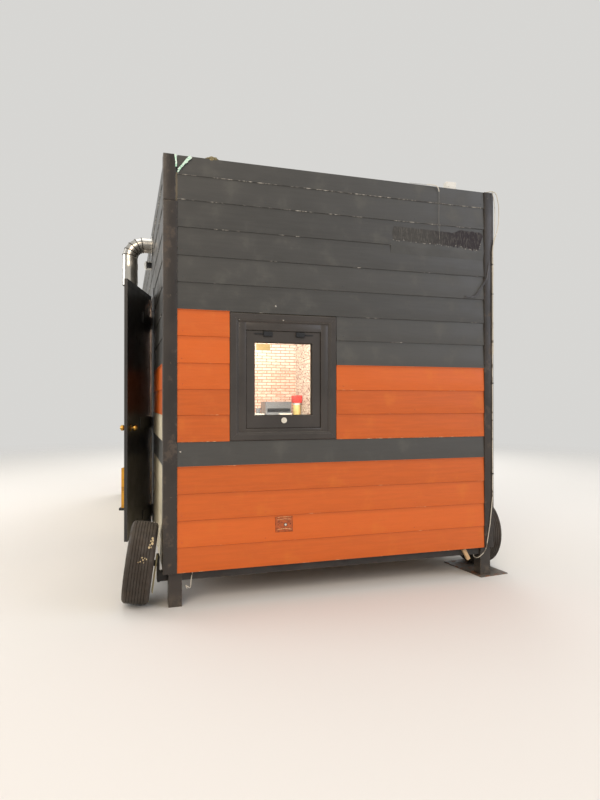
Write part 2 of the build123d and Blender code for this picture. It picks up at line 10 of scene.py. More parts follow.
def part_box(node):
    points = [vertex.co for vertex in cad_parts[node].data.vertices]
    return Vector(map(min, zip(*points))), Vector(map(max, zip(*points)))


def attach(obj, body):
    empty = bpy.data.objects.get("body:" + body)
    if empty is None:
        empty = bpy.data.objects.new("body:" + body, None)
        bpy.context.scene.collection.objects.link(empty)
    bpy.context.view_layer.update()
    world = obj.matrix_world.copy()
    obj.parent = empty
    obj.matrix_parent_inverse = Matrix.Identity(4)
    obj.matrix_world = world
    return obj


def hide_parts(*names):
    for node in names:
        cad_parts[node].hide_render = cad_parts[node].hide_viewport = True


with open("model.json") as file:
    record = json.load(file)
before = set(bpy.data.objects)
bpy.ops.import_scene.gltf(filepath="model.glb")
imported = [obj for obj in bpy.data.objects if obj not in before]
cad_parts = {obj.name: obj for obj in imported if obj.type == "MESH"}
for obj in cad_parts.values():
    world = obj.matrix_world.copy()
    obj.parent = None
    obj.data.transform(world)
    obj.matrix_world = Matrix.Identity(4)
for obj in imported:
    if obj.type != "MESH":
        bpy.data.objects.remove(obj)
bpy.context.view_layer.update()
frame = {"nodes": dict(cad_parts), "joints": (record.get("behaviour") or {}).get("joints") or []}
nodes = frame["nodes"]
joints = {joint["name"]: joint for joint in frame["joints"]}
rng = random.Random(11)
print("stage: frame loaded")

# Places taken from the frame, in metres
up = Vector((0, 0, 1))
wallLow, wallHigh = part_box("front_wall")
wallX = wallHigh.x
wallY = -wallLow.y
roomY = -wallHigh.y
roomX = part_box("floor_deck")[1].x
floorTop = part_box("floor_deck")[1].z
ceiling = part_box("roof_deck")[0].z
cornerLow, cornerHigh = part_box("front_corner_boards")
halfWidth = cornerHigh.x
halfLength = -cornerLow.y


# Materials
def linear(code):
    parts = [int(code[i : i + 2], 16) / 255 for i in (1, 3, 5)]
    return (*[c / 12.92 if c <= 0.04045 else ((c + 0.055) / 1.055) ** 2.4 for c in parts], 1.0)


def toned(colour, factor, lift=0.0):
    return tuple(min(1.0, c * factor + lift) for c in colour[:3]) + (1.0,)


def put(tree, kind, inputs=None, **settings):
    node = tree.nodes.new("ShaderNode" + kind)
    for key, value in settings.items():
        setattr(node, key, value)
    for key, value in (inputs or {}).items():
        if isinstance(value, bpy.types.NodeSocket):
            tree.links.new(value, node.inputs[key])
        else:
            node.inputs[key].default_value = value
    return node


def blendColours(tree, amount, first, second):
    node = put(tree, "Mix", {0: amount, 6: first, 7: second}, data_type="RGBA", blend_type="MIX")
    return node.outputs[2]


def maths(tree, how, first, second=0.0, third=0.0):
    return put(tree, "Math", {0: first, 1: second, 2: third}, operation=how).outputs[0]


def spread(tree, value, low, high, toLow=0.0, toHigh=1.0):
    inputs = {0: value, 1: low, 2: high, 3: toLow, 4: toHigh}
    return put(tree, "MapRange", inputs, interpolation_type="SMOOTHSTEP").outputs[0]


def stretched(tree, at, scale):
    return put(tree, "Mapping", {"Vector": at, "Scale": scale}).outputs[0]


def clouds(tree, at, sizeMm, detail=3.0, roughness=0.55):
    inputs = {"Vector": at, "Scale": 1000.0 / sizeMm, "Detail": detail, "Roughness": roughness}
    return put(tree, "TexNoise", inputs).outputs[0]


def begin(name):
    material = bpy.data.materials.new(name)
    material.use_nodes = True
    tree = material.node_tree
    tree.nodes.clear()
    shader = put(tree, "BsdfPrincipled")
    put(tree, "OutputMaterial", {"Surface": shader.outputs[0]})
    return material, tree, shader


def feed(tree, shader, **values):
    names = {
        "base": "Base Color", "rough": "Roughness", "metal": "Metallic", "coat": "Coat Weight",
        "normal": "Normal", "glow": "Emission Color", "glowPower": "Emission Strength",
        "through": "Transmission Weight", "ior": "IOR", "alpha": "Alpha",
    }
    for key, value in values.items():
        if isinstance(value, bpy.types.NodeSocket):
            tree.links.new(value, shader.inputs[names[key]])
        else:
            shader.inputs[names[key]].default_value = value


def relief(tree, height, depthMm, after=None):
    inputs = {"Height": height, "Distance": depthMm / 1000.0, "Strength": 1.0}
    if after is not None:
        inputs["Normal"] = after
    return put(tree, "Bump", inputs).outputs[0]


def edgeMask(tree, at, widthMm, low=0.90, high=0.995):
    around = put(tree, "Bevel", {"Radius": widthMm / 1000.0}, samples=4).outputs[0]
    own = put(tree, "NewGeometry").outputs["Normal"]
    match = put(tree, "VectorMath", {0: around, 1: own}, operation="DOT_PRODUCT").outputs["Value"]
    bare = spread(tree, match, low, high, 1.0, 0.0)
    return maths(tree, "MULTIPLY", bare, spread(tree, clouds(tree, at, widthMm * 6), 0.42, 0.60))


def weathered(name, colour, rough, metal=0.0, tone=0.12, patchMm=260, speckMm=6, speck=0.05,
              stain=None, stainMm=90, stainShare=0.35, bare=None, bareMm=2.5, bareMetal=0.0,
              bumpMm=0.15, bumpSizeMm=4, dust=0.25, dustColour="#8f8779", coat=0.0, low=None):
    material, tree, shader = begin(name)
    at = put(tree, "TexCoord").outputs["Object"]
    base = linear(colour)
    dark, light = toned(base, 1 - tone), toned(base, 1 + tone)
    drift = spread(tree, clouds(tree, at, patchMm), 0.35, 0.65)
    paint = blendColours(tree, drift, dark, light)  # hand-wide drift in tone
    grit = spread(tree, clouds(tree, at, speckMm, 2.0), 0.5, 0.7)
    paint = blendColours(tree, maths(tree, "MULTIPLY", grit, speck * 4), paint, dark)  # fine grit
    matt = min(1.0, rough * 1.22)
    gloss = spread(tree, clouds(tree, at, patchMm * 0.4, 5.0), 0.3, 0.7, rough * 0.82, matt)
    metalness = metal
    if stain:  # blotches of rust or dirt with ragged rims
        where = clouds(tree, at, stainMm, 6.0, 0.68)
        mask = spread(tree, where, 0.66 - stainShare * 0.4, 0.74 - stainShare * 0.4)
        paint = blendColours(tree, mask, paint, linear(stain))
        gloss = maths(tree, "ADD", gloss, maths(tree, "MULTIPLY", mask, 0.25))
        if metal:
            metalness = maths(tree, "MULTIPLY", metal, maths(tree, "SUBTRACT", 1.0, mask))
    if bare:  # rubbed arrises where the finish has gone
        mask = edgeMask(tree, at, bareMm)
        paint = blendColours(tree, mask, paint, linear(bare))
        if bareMetal:
            metalness = maths(tree, "MULTIPLY", mask, bareMetal)
    if dust:  # settled dust on whatever faces up
        facing = put(tree, "SeparateXYZ", {0: put(tree, "NewGeometry").outputs["Normal"]}).outputs[2]
        amount = maths(tree, "MULTIPLY", spread(tree, facing, 0.35, 0.95), dust)
        amount = maths(tree, "MULTIPLY", amount, spread(tree, clouds(tree, at, 70, 4.0), 0.25, 0.7))
        paint = blendColours(tree, amount, paint, linear(dustColour))
    if low:  # road splash that fades out upwards
        height = put(tree, "SeparateXYZ", {0: at}).outputs[2]
        splash = spread(tree, height, 0.05, low[1], 1.0, 0.0)
        ragged = spread(tree, clouds(tree, at, 55, 6.0, 0.7), 0.40, 0.66)
        paint = blendColours(tree, maths(tree, "MULTIPLY", splash, ragged), paint, linear(low[0]))
    gritty = relief(tree, clouds(tree, at, bumpSizeMm, 3.0), bumpMm)
    feed(tree, shader, base=paint, rough=gloss, metal=metalness, coat=coat, normal=gritty)
    return material


def boardPaint(name, colour, worn, bloom, rough=0.42):
    # Boards carry a UV map in metres: U runs along the board, V up from its lower edge
    material, tree, shader = begin(name)
    at = put(tree, "TexCoord").outputs["UV"]
    height = put(tree, "SeparateXYZ", {0: at}).outputs[1]
    shade = put(tree, "Attribute", attribute_name="tone").outputs["Fac"]
    # Per-board length of the pale arris line: rubbed paint and painted highlight
    paleArris = put(tree, "Attribute", attribute_name="paleArris").outputs["Fac"]
    base = linear(colour)
    dark, light = toned(base, 0.72), toned(base, 1.25, 0.004)
    paint = blendColours(tree, shade, dark, light)  # each board weathered a little differently
    paint = blendColours(tree, 0.55, paint, base)
    figure = clouds(tree, stretched(tree, at, (1.0, 14.0, 1.0)), 260, 5.0, 0.6)
    grain = clouds(tree, stretched(tree, at, (1.0, 30.0, 1.0)), 95, 4.0, 0.6)
    blotch = clouds(tree, at, 190, 4.0, 0.6)
    # Drawn-out paler streaks, grain that telegraphs through the paint, and chalky bloom
    paint = blendColours(tree, spread(tree, figure, 0.40, 0.62, 0.0, 0.22), paint, light)
    paint = blendColours(tree, spread(tree, grain, 0.56, 0.74, 0.0, 0.45), paint, dark)
    paint = blendColours(tree, spread(tree, blotch, 0.52, 0.72, 0.0, 0.35), paint, linear(bloom))
    # A broken pale line on the lower arris, partly rubbed paint and partly a painted highlight where the
    # arris catches light, longer on the boards given the highest values in the board table
    ragged = clouds(tree, stretched(tree, at, (1.0, 0.3, 1.0)), 42, 4.0, 0.7)
    edgeHere = spread(tree, height, 0.0018, 0.0040, 1.0, 0.0)
    least, most = [maths(tree, "MULTIPLY_ADD", paleArris, -0.20, limit) for limit in (0.62, 0.72)]
    broken = spread(tree, clouds(tree, stretched(tree, at, (1.0, 0.2, 1.0)), 210, 3.0), least, most)
    paleArrisLine = maths(tree, "MULTIPLY", edgeHere, broken)
    paleArrisLine = maths(tree, "MULTIPLY", paleArrisLine, spread(tree, ragged, 0.45, 0.60))
    paint = blendColours(tree, paleArrisLine, paint, linear(worn))
    shadowed = spread(tree, height, 0.142, 0.178, 0.0, 0.5)
    paint = blendColours(tree, shadowed, paint, dark)  # painted shadow under the lap above
    chip = spread(tree, clouds(tree, at, 34, 5.0, 0.75), 0.752, 0.770)
    paint = blendColours(tree, maths(tree, "MULTIPLY", chip, 0.8), paint, linear(worn))  # odd knocks
    gloss = spread(tree, blotch, 0.35, 0.7, rough * 0.85, rough * 1.35)
    gloss = maths(tree, "ADD", gloss, maths(tree, "MULTIPLY", paleArrisLine, 0.25))
    normal = relief(tree, grain, 0.35)
    normal = relief(tree, clouds(tree, at, 3.2, 2.0), 0.10, normal)  # orange-peel of brushed paint
    cupped = clouds(tree, stretched(tree, at, (1.0, 3.0, 1.0)), 420, 2.0)
    normal = relief(tree, cupped, 1.2, normal)  # slow cupping of the boards
    feed(tree, shader, base=paint, rough=gloss, normal=normal)
    return material


def boardFinishes():
    # Each paint: its colour, what shows where it is worn and in the painted arris highlight, and its chalky
    # bloom
    values = {
        "dark": ("PaintedPineBoardsAnthracite", "#3f3e3b", "#cfc9bc", "#5a5952"),
        "orange": ("PaintedPineBoardsOrange", "#c4590c", "#e6b98a", "#d0701e"),
        "cream": ("PaintedPineBoardsCream", "#d3c9ae", "#8d8474", "#d9cfb4"),
    }
    return {colour: boardPaint(*value) for colour, value in values.items()}


boardsFinish = boardFinishes()

# Brushed paints on timber: drifting tone, and pale wood along the rubbed arrises
trimPaint = weathered("BrushedTrimPaintOnPine", "#2b2520", 0.36, tone=0.20, bare="#8f7f69", bareMm=1.6,
                      bumpMm=0.9, bumpSizeMm=9, stain="#463c33", stainShare=0.25, speck=0.1)
framePaint = weathered("PaintedWindowTimber", "#38332f", 0.34, tone=0.12, bare="#8b8276", bareMm=1.2,
                       bumpMm=0.12, bumpSizeMm=9)
wallBoard = weathered("PaintedPlywoodWall", "#b9ad96", 0.6, tone=0.08, bumpMm=0.1)
underBoards = weathered("BareSoftwoodBoards", "#9a7c58", 0.7, tone=0.2, stain="#5f4b36", stainMm=150,
                        stainShare=0.3, bumpMm=0.3)
paintedFiller = weathered("OverpaintedFiller", "#403f3b", 0.44, tone=0.14, patchMm=180, stain="#4a4945",
                          stainMm=120, stainShare=0.2, bumpMm=0.3, bumpSizeMm=14, dust=0.0)
flakePaint = weathered("CurledOldPaint", "#a7a39a", 0.7, tone=0.2, bumpMm=0.1, dust=0.0)
paleBatten = weathered("SawnPineBatten", "#c7a67c", 0.7, tone=0.15, stain="#8f6f4c", stainMm=18,
                       stainShare=0.2, bumpMm=0.2)

# Painted steels: bright metal at the edges, and rust or road dirt low down
doorSteel = weathered("SatinPaintedSteelSheet", "#262524", 0.36, tone=0.18, patchMm=400, bare="#8c8a86",
                      bareMm=1.8, bareMetal=0.8, bumpMm=0.3, bumpSizeMm=160, coat=0.05,
                      stain="#33312e", stainShare=0.15)
frameSteel = weathered("PaintedSteelAngle", "#23262a", 0.34, bare="#7a7672", bareMm=1.8, bareMetal=0.8,
                       bumpMm=0.1)
chassisSteel = weathered("PaintedChassisSteel", "#2b2826", 0.55, tone=0.2, stain="#50301f", stainMm=60,
                         stainShare=0.10, bare="#6f5a48", bareMm=1.6, bumpMm=0.3, bumpSizeMm=5,
                         low=("#4a4238", 0.24), dust=0.4, dustColour="#6d6558")
legSteel = weathered("HandPaintedLegSteel", "#36302b", 0.42, tone=0.18, stain="#4c3626", stainMm=46,
                     stainShare=0.10, bare="#b3a58f", bareMm=2.0, bumpMm=0.25, bumpSizeMm=6,
                     low=("#51483d", 0.10), dust=0.4, dustColour="#6d6558")
plateSteel = weathered("MillScaleSteelPlate", "#5b564f", 0.6, tone=0.2, stain="#77492b", stainMm=60,
                       stainShare=0.4, bare="#9a9186", bareMm=2.5, bumpMm=0.2)
rimPaint = weathered("CreamPaintedWheelSteel", "#d3c59a", 0.40, tone=0.10, stain="#7b4d2c", stainMm=40,
                     stainShare=0.10, bare="#7d6a54", bareMm=2.0, bumpMm=0.08, dust=0.4)
machinePaint = weathered("PowderCoatedSteelGrey", "#75787c", 0.35, tone=0.08, bumpMm=0.03)
orangePlate = weathered("OverpaintedSteelPlate", "#a9501f", 0.45, tone=0.2, patchMm=30, stain="#7d3a1c",
                        stainMm=14, stainShare=0.35, bare="#d98a4a", bareMm=2.0, bumpMm=0.5,
                        bumpSizeMm=7, dust=0.0)
scrapedEdge = weathered("ScrapedPlasterEdge", "#d3a070", 0.7, tone=0.25, patchMm=8, stain="#b3672f",
                        stainMm=7, stainShare=0.35, bumpMm=0.5, bumpSizeMm=3, dust=0.0)

# Bare metals: dull spangle on the roof, soft ripples in the duct, tarnish on brass and zinc
roofSheet = weathered("GalvanisedRoofSheet", "#8b8d8c", 0.66, metal=0.35, tone=0.14, patchMm=420,
                      speck=0.1, stain="#6f685c", stainMm=240, stainShare=0.22, bumpMm=0.2,
                      bumpSizeMm=30, dust=0.6)
ductMetal = weathered("StainlessDuctSheet", "#c2beb6", 0.22, metal=1.0, tone=0.05, patchMm=240,
                      speck=0.01, bumpMm=0.10, bumpSizeMm=60, dust=0.12)
seamMetal = weathered("DarkenedDuctSeam", "#4b463f", 0.5, metal=0.8, tone=0.15, bumpMm=0.1, dust=0.1)
brass = weathered("RubbedBrass", "#b08a45", 0.28, metal=1.0, tone=0.12, stain="#5e4522", stainMm=18,
                  stainShare=0.2, bumpMm=0.04, dust=0.0)
zincSteel = weathered("ZincPlatedScrew", "#a9a59c", 0.34, metal=1.0, stain="#6b4a30", stainMm=9,
                      stainShare=0.25, bumpMm=0.02, dust=0.0)
lockEnamel = weathered("PaleLockEnamel", "#e6e0d0", 0.28, metal=0.15, tone=0.08, stain="#6f675c",
                       stainMm=12, stainShare=0.2, bumpMm=0.02, dust=0.0)

# Moulded plastics, sheaths and rubber: even colour, faint moulding texture, dust on what faces up
whitePanel = weathered("WhiteMelaminePanel", "#d8d5cc", 0.38, tone=0.05, bumpMm=0.03, dust=0.15)
blackPlastic = weathered("MouldedBlackPolyamide", "#16171a", 0.38, tone=0.1, bumpMm=0.05, dust=0.2)
yellowPlastic = weathered("MouldedYellowPolyethylene", "#d79a1e", 0.42, tone=0.1, stain="#a5701a",
                          stainShare=0.2, bumpMm=0.05)
lampPlastic = weathered("WhitePolycarbonate", "#d6d4cc", 0.32, tone=0.06, stain="#a39c8c", stainMm=60,
                        stainShare=0.15, bumpMm=0.03)
lampLens = weathered("SmokedLampLens", "#1d1e20", 0.25, tone=0.1, bumpMm=0.02, dust=0.1)
paleCable = weathered("PalePvcSheath", "#c6c0b2", 0.45, tone=0.12, stain="#6f675b", stainMm=60,
                      stainShare=0.25, bumpMm=0.03)
greyCord = weathered("GreySheathedCord", "#77746c", 0.5, tone=0.1, bumpMm=0.02)
thinCable = weathered("DarkGreyPvcSheath", "#4c4b4e", 0.25, tone=0.12, bumpMm=0.02, dust=0.0)
mintStrap = weathered("MintPolypropyleneStrap", "#96d4b3", 0.40, tone=0.2, patchMm=14, stain="#e2efe4",
                      stainMm=9, stainShare=0.55, bumpMm=0.3, bumpSizeMm=5, dust=0.0)
tyreRubber = weathered("WeatheredTyreRubber", "#3b332b", 0.78, tone=0.22, patchMm=150, speck=0.12,
                       stain="#4a4036", stainMm=90, stainShare=0.16, bumpMm=0.3, bare="#5a5045",
                       bareMm=1.2, dust=0.45, dustColour="#5f564a")
counterBoard = weathered("LaminatedCounterBoard", "#cfc9bb", 0.32, tone=0.05, bumpMm=0.02)
jarPlastic = weathered("ClearJarPlastic", "#dfe3df", 0.12, tone=0.03, bumpMm=0.0, dust=0.0)
jarContents = weathered("YellowJarContents", "#d9c27e", 0.4, tone=0.12, bumpMm=0.1, dust=0.0)

# Dark ring and hole shade, earth, card and plaster: matt, with coarse grain and blotches
# Dark discs on the blanking plate: a ring round its screw, and painted shade in its empty holes
darkRingAndHoleShade = weathered("DarkRingAndPaintedHoleShade", "#3a1d10", 0.9, tone=0.2, bumpMm=0.2, dust=0.0)
mudSplash = weathered("DriedCreamMud", "#c2ad86", 0.85, tone=0.15, bumpMm=0.5, bumpSizeMm=3, dust=0.0)
sealantClod = weathered("WeatheredSealantFoam", "#6f6547", 0.9, tone=0.3, patchMm=20, speck=0.15,
                        stain="#a79a76", stainMm=12, stainShare=0.3, bumpMm=1.0, bumpSizeMm=5, dust=0.2)
brickJoint = weathered("RedBrownPrintedJoint", "#94604c", 0.6, tone=0.12, bumpMm=0.05, dust=0.0)
redCard = weathered("CoatedRedCarton", "#d5392f", 0.45, tone=0.08, bumpMm=0.05, dust=0.1)
cardPaper = weathered("BeigeCard", "#a38d58", 0.7, tone=0.1, stain="#7a6c50", stainMm=14,
                      stainShare=0.15, bumpMm=0.1, dust=0.0)
print("stage: materials made")


# Shapes
def box(bm, low, high, turn=None):
    low, high = Vector(low), Vector(high)
    place = Matrix.Translation((low + high) / 2) @ Matrix.Diagonal((*(high - low), 1.0))
    return bmesh.ops.create_cube(bm, size=1.0, matrix=turn @ place if turn else place)["verts"]


def sideOf(axis):
    return axis.cross(up if abs(axis.z) < 0.9 else Vector((1, 0, 0))).normalized()


def turned(bm, centre, axis, profile, sides=32, closed=False, paint=0):
    # Spins (along, radius) points: a closed section, or a line with both its ends on the axis
    centre, axis = Vector(centre), Vector(axis).normalized()
    side = sideOf(axis)
    part = bmesh.new()
    points = [part.verts.new(centre + axis * along + side * radius) for along, radius in profile]
    ends = points[1:] + points[:1] if closed else points[1:]
    edges = [part.edges.new(pair) for pair in zip(points, ends)]
    bmesh.ops.spin(part, geom=points + edges, cent=centre, axis=axis, angle=2 * math.pi,
                   steps=sides, use_merge=True)
    bmesh.ops.remove_doubles(part, verts=part.verts[:], dist=0.00001)
    for face in part.faces:
        face.material_index = paint
    mesh = bpy.data.meshes.new("part")
    part.to_mesh(mesh)
    part.free()
    bm.from_mesh(mesh)
    bpy.data.meshes.remove(mesh)


def loft(bm, rings, closed=False):
    # Joins rings that differ from each other, and caps the two ends unless they meet
    loops = [[bm.verts.new(point) for point in ring] for ring in rings]
    for here, after in zip(loops, loops[1:] + loops[:1] if closed else loops[1:]):
        for k in range(len(here)):
            n = (k + 1) % len(here)
            bm.faces.new((here[k], here[n], after[n], after[k]))
    if not closed:
        bm.faces.new(loops[0])
        bm.faces.new(loops[-1][::-1])


def finishPiece(bm, name, materials, body="kiosk", bevel=0.0, segments=2, angle=35, stands=()):
    bmesh.ops.recalc_face_normals(bm, faces=bm.faces[:])
    if bevel:
        sharp = [e for e in bm.edges if len(e.link_faces) == 2 and e.calc_face_angle(0) > math.radians(28)]
        bmesh.ops.bevel(bm, geom=sharp, offset=bevel, segments=segments, profile=0.5, affect="EDGES",
                        material=-1, clamp_overlap=True)
    mesh = bpy.data.meshes.new(name)
    bm.to_mesh(mesh)
    bm.free()
    for material in materials:
        mesh.materials.append(material)
    mesh.polygons.foreach_set("use_smooth", [True] * len(mesh.polygons))
    mesh.set_sharp_from_angle(angle=math.radians(angle))
    piece = bpy.data.objects.new(name, mesh)
    bpy.context.scene.collection.objects.link(piece)
    if body:
        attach(piece, body)
    if stands:
        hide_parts(*stands)
    return piece


def carried(names, material, bevel=0.0):
    # CAD nodes shown as they are, with a finish and softened arrises
    for name in names.split():
        piece = nodes[name]
        piece.data.materials.clear()
        piece.data.materials.append(material)
        if bevel:
            soften = piece.modifiers.new("arrises", "BEVEL")
            soften.width = bevel
            soften.segments = 2
            soften.limit_method = "ANGLE"
            soften.angle_limit = math.radians(40)


def eased(value, low, high):
    part = min(1.0, max(0.0, (value - low) / (high - low)))
    return part * part * (3 - 2 * part)


# Lapped boards on the four walls: course lines up from the ground, then the section of a board
boards = {
    "edges": (0.231, 0.397, 0.572, 0.747, 0.924, 1.089, 1.267, 1.439, 1.612, 1.791, 1.962,
              2.145, 2.321, 2.507, 2.687, 2.851, 2.9765),
    "lap": 0.020, "thickLow": 0.0235, "thickTop": 0.0170, "arris": 0.0046,
    "easedAt": ((0.0005, 0.0030), (0.0020, 0.0008)), "rows": (0.0015, 0.0045), "topRow": 0.001,
    "backFrom": 0.003, "backGap": 0.0006, "backLeast": 0.0006,
    "step": 0.115, "gap": 0.0012, "wave": 0.0009, "sag": 0.0012, "shiftMost": 7.0,
    "closestU": 0.0004, "closestV": 0.0003,
    "cornerLeft": 0.090, "cornerRight": 0.080, "cornerSide": 0.085,
    # Per board, how long the pale arris line runs: rubbed paint, and a painted highlight where the arris
    # catches light
    "paleArrisMost": {15: 1.0, 14: 0.75, 13: 0.5, 11: 0.0, 5: 0.9, 0: 0.6}, "paleArrisRest": 0.3,
}
colourIndex = {"dark": 0, "orange": 1, "cream": 2}


def frontDepth(v, height):
    # How far a board stands off the wall at v above its lower edge, whose arris is eased
    taper = boards["thickLow"] - boards["thickTop"]
    slope = boards["thickLow"] - taper * v / (height + boards["lap"])
    for reach, cut in boards["easedAt"]:
        if v < reach:
            return slope - cut
    return slope


def spaced(values, closest):
    kept = []
    for value in sorted(values):
        if not kept or value - kept[-1] > closest:
            kept.append(value)
    return kept


def clad(name, place, span, holes, paintOf, breaksOf):
    # Real lapped boards: each is one closed solid per run, cut round what stands in the wall
    bm = bmesh.new()
    uv = bm.loops.layers.uv.new("UVMap")
    toneLayer = bm.faces.layers.float.new("tone")
    paleArrisLayer = bm.faces.layers.float.new("paleArris")
    edges, lap = boards["edges"], boards["lap"]
    seed = place(0, 0, 0).x
    for index, (low, high) in enumerate(zip(edges, edges[1:])):
        height = high - low
        top = height if index == len(edges) - 2 else height + lap
        taper = (boards["thickLow"] - boards["thickTop"]) * height / (height + lap)
        cuts = sorted({*span, *breaksOf(index)})
        for left, right in zip(cuts, cuts[1:]):
            start = left + (boards["gap"] / 2 if left != span[0] else 0)
            end = right - (boards["gap"] / 2 if right != span[1] else 0)
            tone = rng.random()
            shift = rng.random() * boards["shiftMost"]
            vLines = {0.0, *boards["rows"], height * 0.5, height - boards["topRow"], top}
            uLines = {start, end}
            count = max(1, round((end - start) / boards["step"]))
            uLines.update(start + (end - start) * k / count for k in range(1, count))
            near = [h for h in holes if h[1] > start and h[0] < end and h[3] > low and h[2] < low + top]
            for h in near:
                uLines.update(min(max(c, start), end) for c in (h[0], h[1]))
                vLines.update(min(max(c - low, 0.0), top) for c in (h[2], h[3]))
            us, vs = spaced(uLines, boards["closestU"]), spaced(vLines, boards["closestV"])
            solid = {}
            for i, j in [(i, j) for i in range(len(us) - 1) for j in range(len(vs) - 1)]:
                u, z = (us[i] + us[i + 1]) / 2, low + (vs[j] + vs[j + 1]) / 2
                if not any(h[0] < u < h[1] and h[2] < z < h[3] for h in near):
                    solid[i, j] = True
            points = {}

            def vertex(i, j, back):
                if (i, j, back) not in points:
                    u, v = us[i], vs[j]
                    wave = noise.noise(Vector((u * 1.3 + shift, index * 3.7, seed))) * boards["wave"]
                    sag = noise.noise(Vector((u * 0.9, index * 5.1 + shift, 2.0))) * boards["sag"]
                    depth = frontDepth(max(v, boards["backFrom"]) if back else v, height) + wave
                    if back:
                        depth = max(boards["backLeast"], depth - taper - boards["backGap"])
                    lift = sag if v < height and (j or index) else 0
                    points[i, j, back] = bm.verts.new(place(u, depth, low + v + lift))
                return points[i, j, back]

            def face(corners, uvs, colour):
                made = bm.faces.new([vertex(*corner) for corner in corners])
                made.material_index = colour
                made[toneLayer] = tone
                # Pale arris line: rubbed paint and painted highlight
                made[paleArrisLayer] = boards["paleArrisMost"].get(index, boards["paleArrisRest"])
                for loop, (a, b) in zip(made.loops, uvs):
                    loop[uv].uv = (a + shift, b)

            for i, j in solid:
                u0, u1, v0, v1 = us[i], us[i + 1], vs[j], vs[j + 1]
                paint = paintOf(index, (u0 + u1) / 2)
                if v1 < boards["arris"] and index and paint == "dark":
                    below = paintOf(index - 1, (u0 + u1) / 2)
                    paint = below if below == "orange" else paint  # brushed up onto the lap above
                colour = colourIndex[paint]
                square = [(u0, v0), (u1, v0), (u1, v1), (u0, v1)]
                face([(i, j, 0), (i + 1, j, 0), (i + 1, j + 1, 0), (i, j + 1, 0)], square, colour)
                face([(i, j, 1), (i, j + 1, 1), (i + 1, j + 1, 1), (i + 1, j, 1)], square, colour)
                sides = (((i - 1, j), (i, j), (i, j + 1)), ((i + 1, j), (i + 1, j), (i + 1, j + 1)),
                         ((i, j - 1), (i, j), (i + 1, j)), ((i, j + 1), (i, j + 1), (i + 1, j + 1)))
                for beyond, a, b in sides:
                    if beyond not in solid:
                        first, second = (us[a[0]], vs[a[1]]), (us[b[0]], vs[b[1]])
                        face([(*a, 0), (*b, 0), (*b, 1), (*a, 1)], [first, second, second, first], colour)
    finishPiece(bm, name, [boardsFinish[colour] for colour in colourIndex], angle=24)


def rectAround(node, across, gap=0.001):
    low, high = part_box(node)
    return (low[across] - gap, high[across] + gap, low.z - gap, high.z + gap)


# What stands in the walls, as left, right, low and high
windowTop = 1.9625  # the casing's head meets a course line
ductCut = 0.064  # just inside the duct's skin
windowRect = (*rectAround("window_casing", 0)[:3], windowTop)
plateRect = rectAround("blanking_plate", 0, 0.0008)
jambLow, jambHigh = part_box("door_jambs")
doorRect = (jambLow.y - 0.001, jambHigh.y + 0.001, jambLow.z - 0.02, jambHigh.z + 0.001)
lampRect = rectAround("wall_lamp", 1, 0.0008)
pipeLow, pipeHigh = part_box("duct_pipe")
ductY = (pipeLow.y + pipeHigh.y) / 2
ductZ = sum(c.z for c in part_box("duct_collar")) / 2
ductHole = (ductY - ductCut, ductY + ductCut, ductZ - ductCut, ductZ + ductCut)


def endColour(index, u):
    if index == 4 or index > 9:
        return "dark"
    return "orange" if index < 8 or u < windowRect[0] else "dark"


def backColour(index, u):
    return "orange" if index < 8 and index != 4 else "dark"


def sideColour(index, u):
    if index < 4 or index == 5:
        return "cream"
    return "orange" if index in (6, 7) else "dark"


def unbroken(index):
    return []


def staggered(index):
    return [-0.95 + 0.62 * ((index * 2) % 5) + 0.07 * (index % 3)]


# Each wall: a point u along it and d out from it, its way out, span, holes, colours and butt joints
frontSpan = (-halfWidth + boards["cornerLeft"] + 0.001, halfWidth - boards["cornerRight"] - 0.001)
sideSpan = (-halfLength + boards["cornerSide"] + 0.001, halfLength - boards["cornerSide"] - 0.001)
walls = {
    "EndWallBoards": (lambda u, d, z: Vector((u, -wallY - d, z)), (0, -1, 0), frontSpan,
                      [windowRect, plateRect], endColour, unbroken),
    "BackWallBoards": (lambda u, d, z: Vector((u, wallY + d, z)), (0, 1, 0), frontSpan,
                       [], backColour, unbroken),
    "LeftWallBoards": (lambda u, d, z: Vector((-wallX - d, u, z)), (-1, 0, 0), sideSpan,
                       [doorRect, lampRect, ductHole], sideColour, staggered),
    "RightWallBoards": (lambda u, d, z: Vector((wallX + d, u, z)), (1, 0, 0), sideSpan,
                        [], sideColour, staggered),
}
for name, (place, out, span, holes, paintOf, breaksOf) in walls.items():
    clad(name, place, span, holes, paintOf, breaksOf)
print("stage: boards laid")


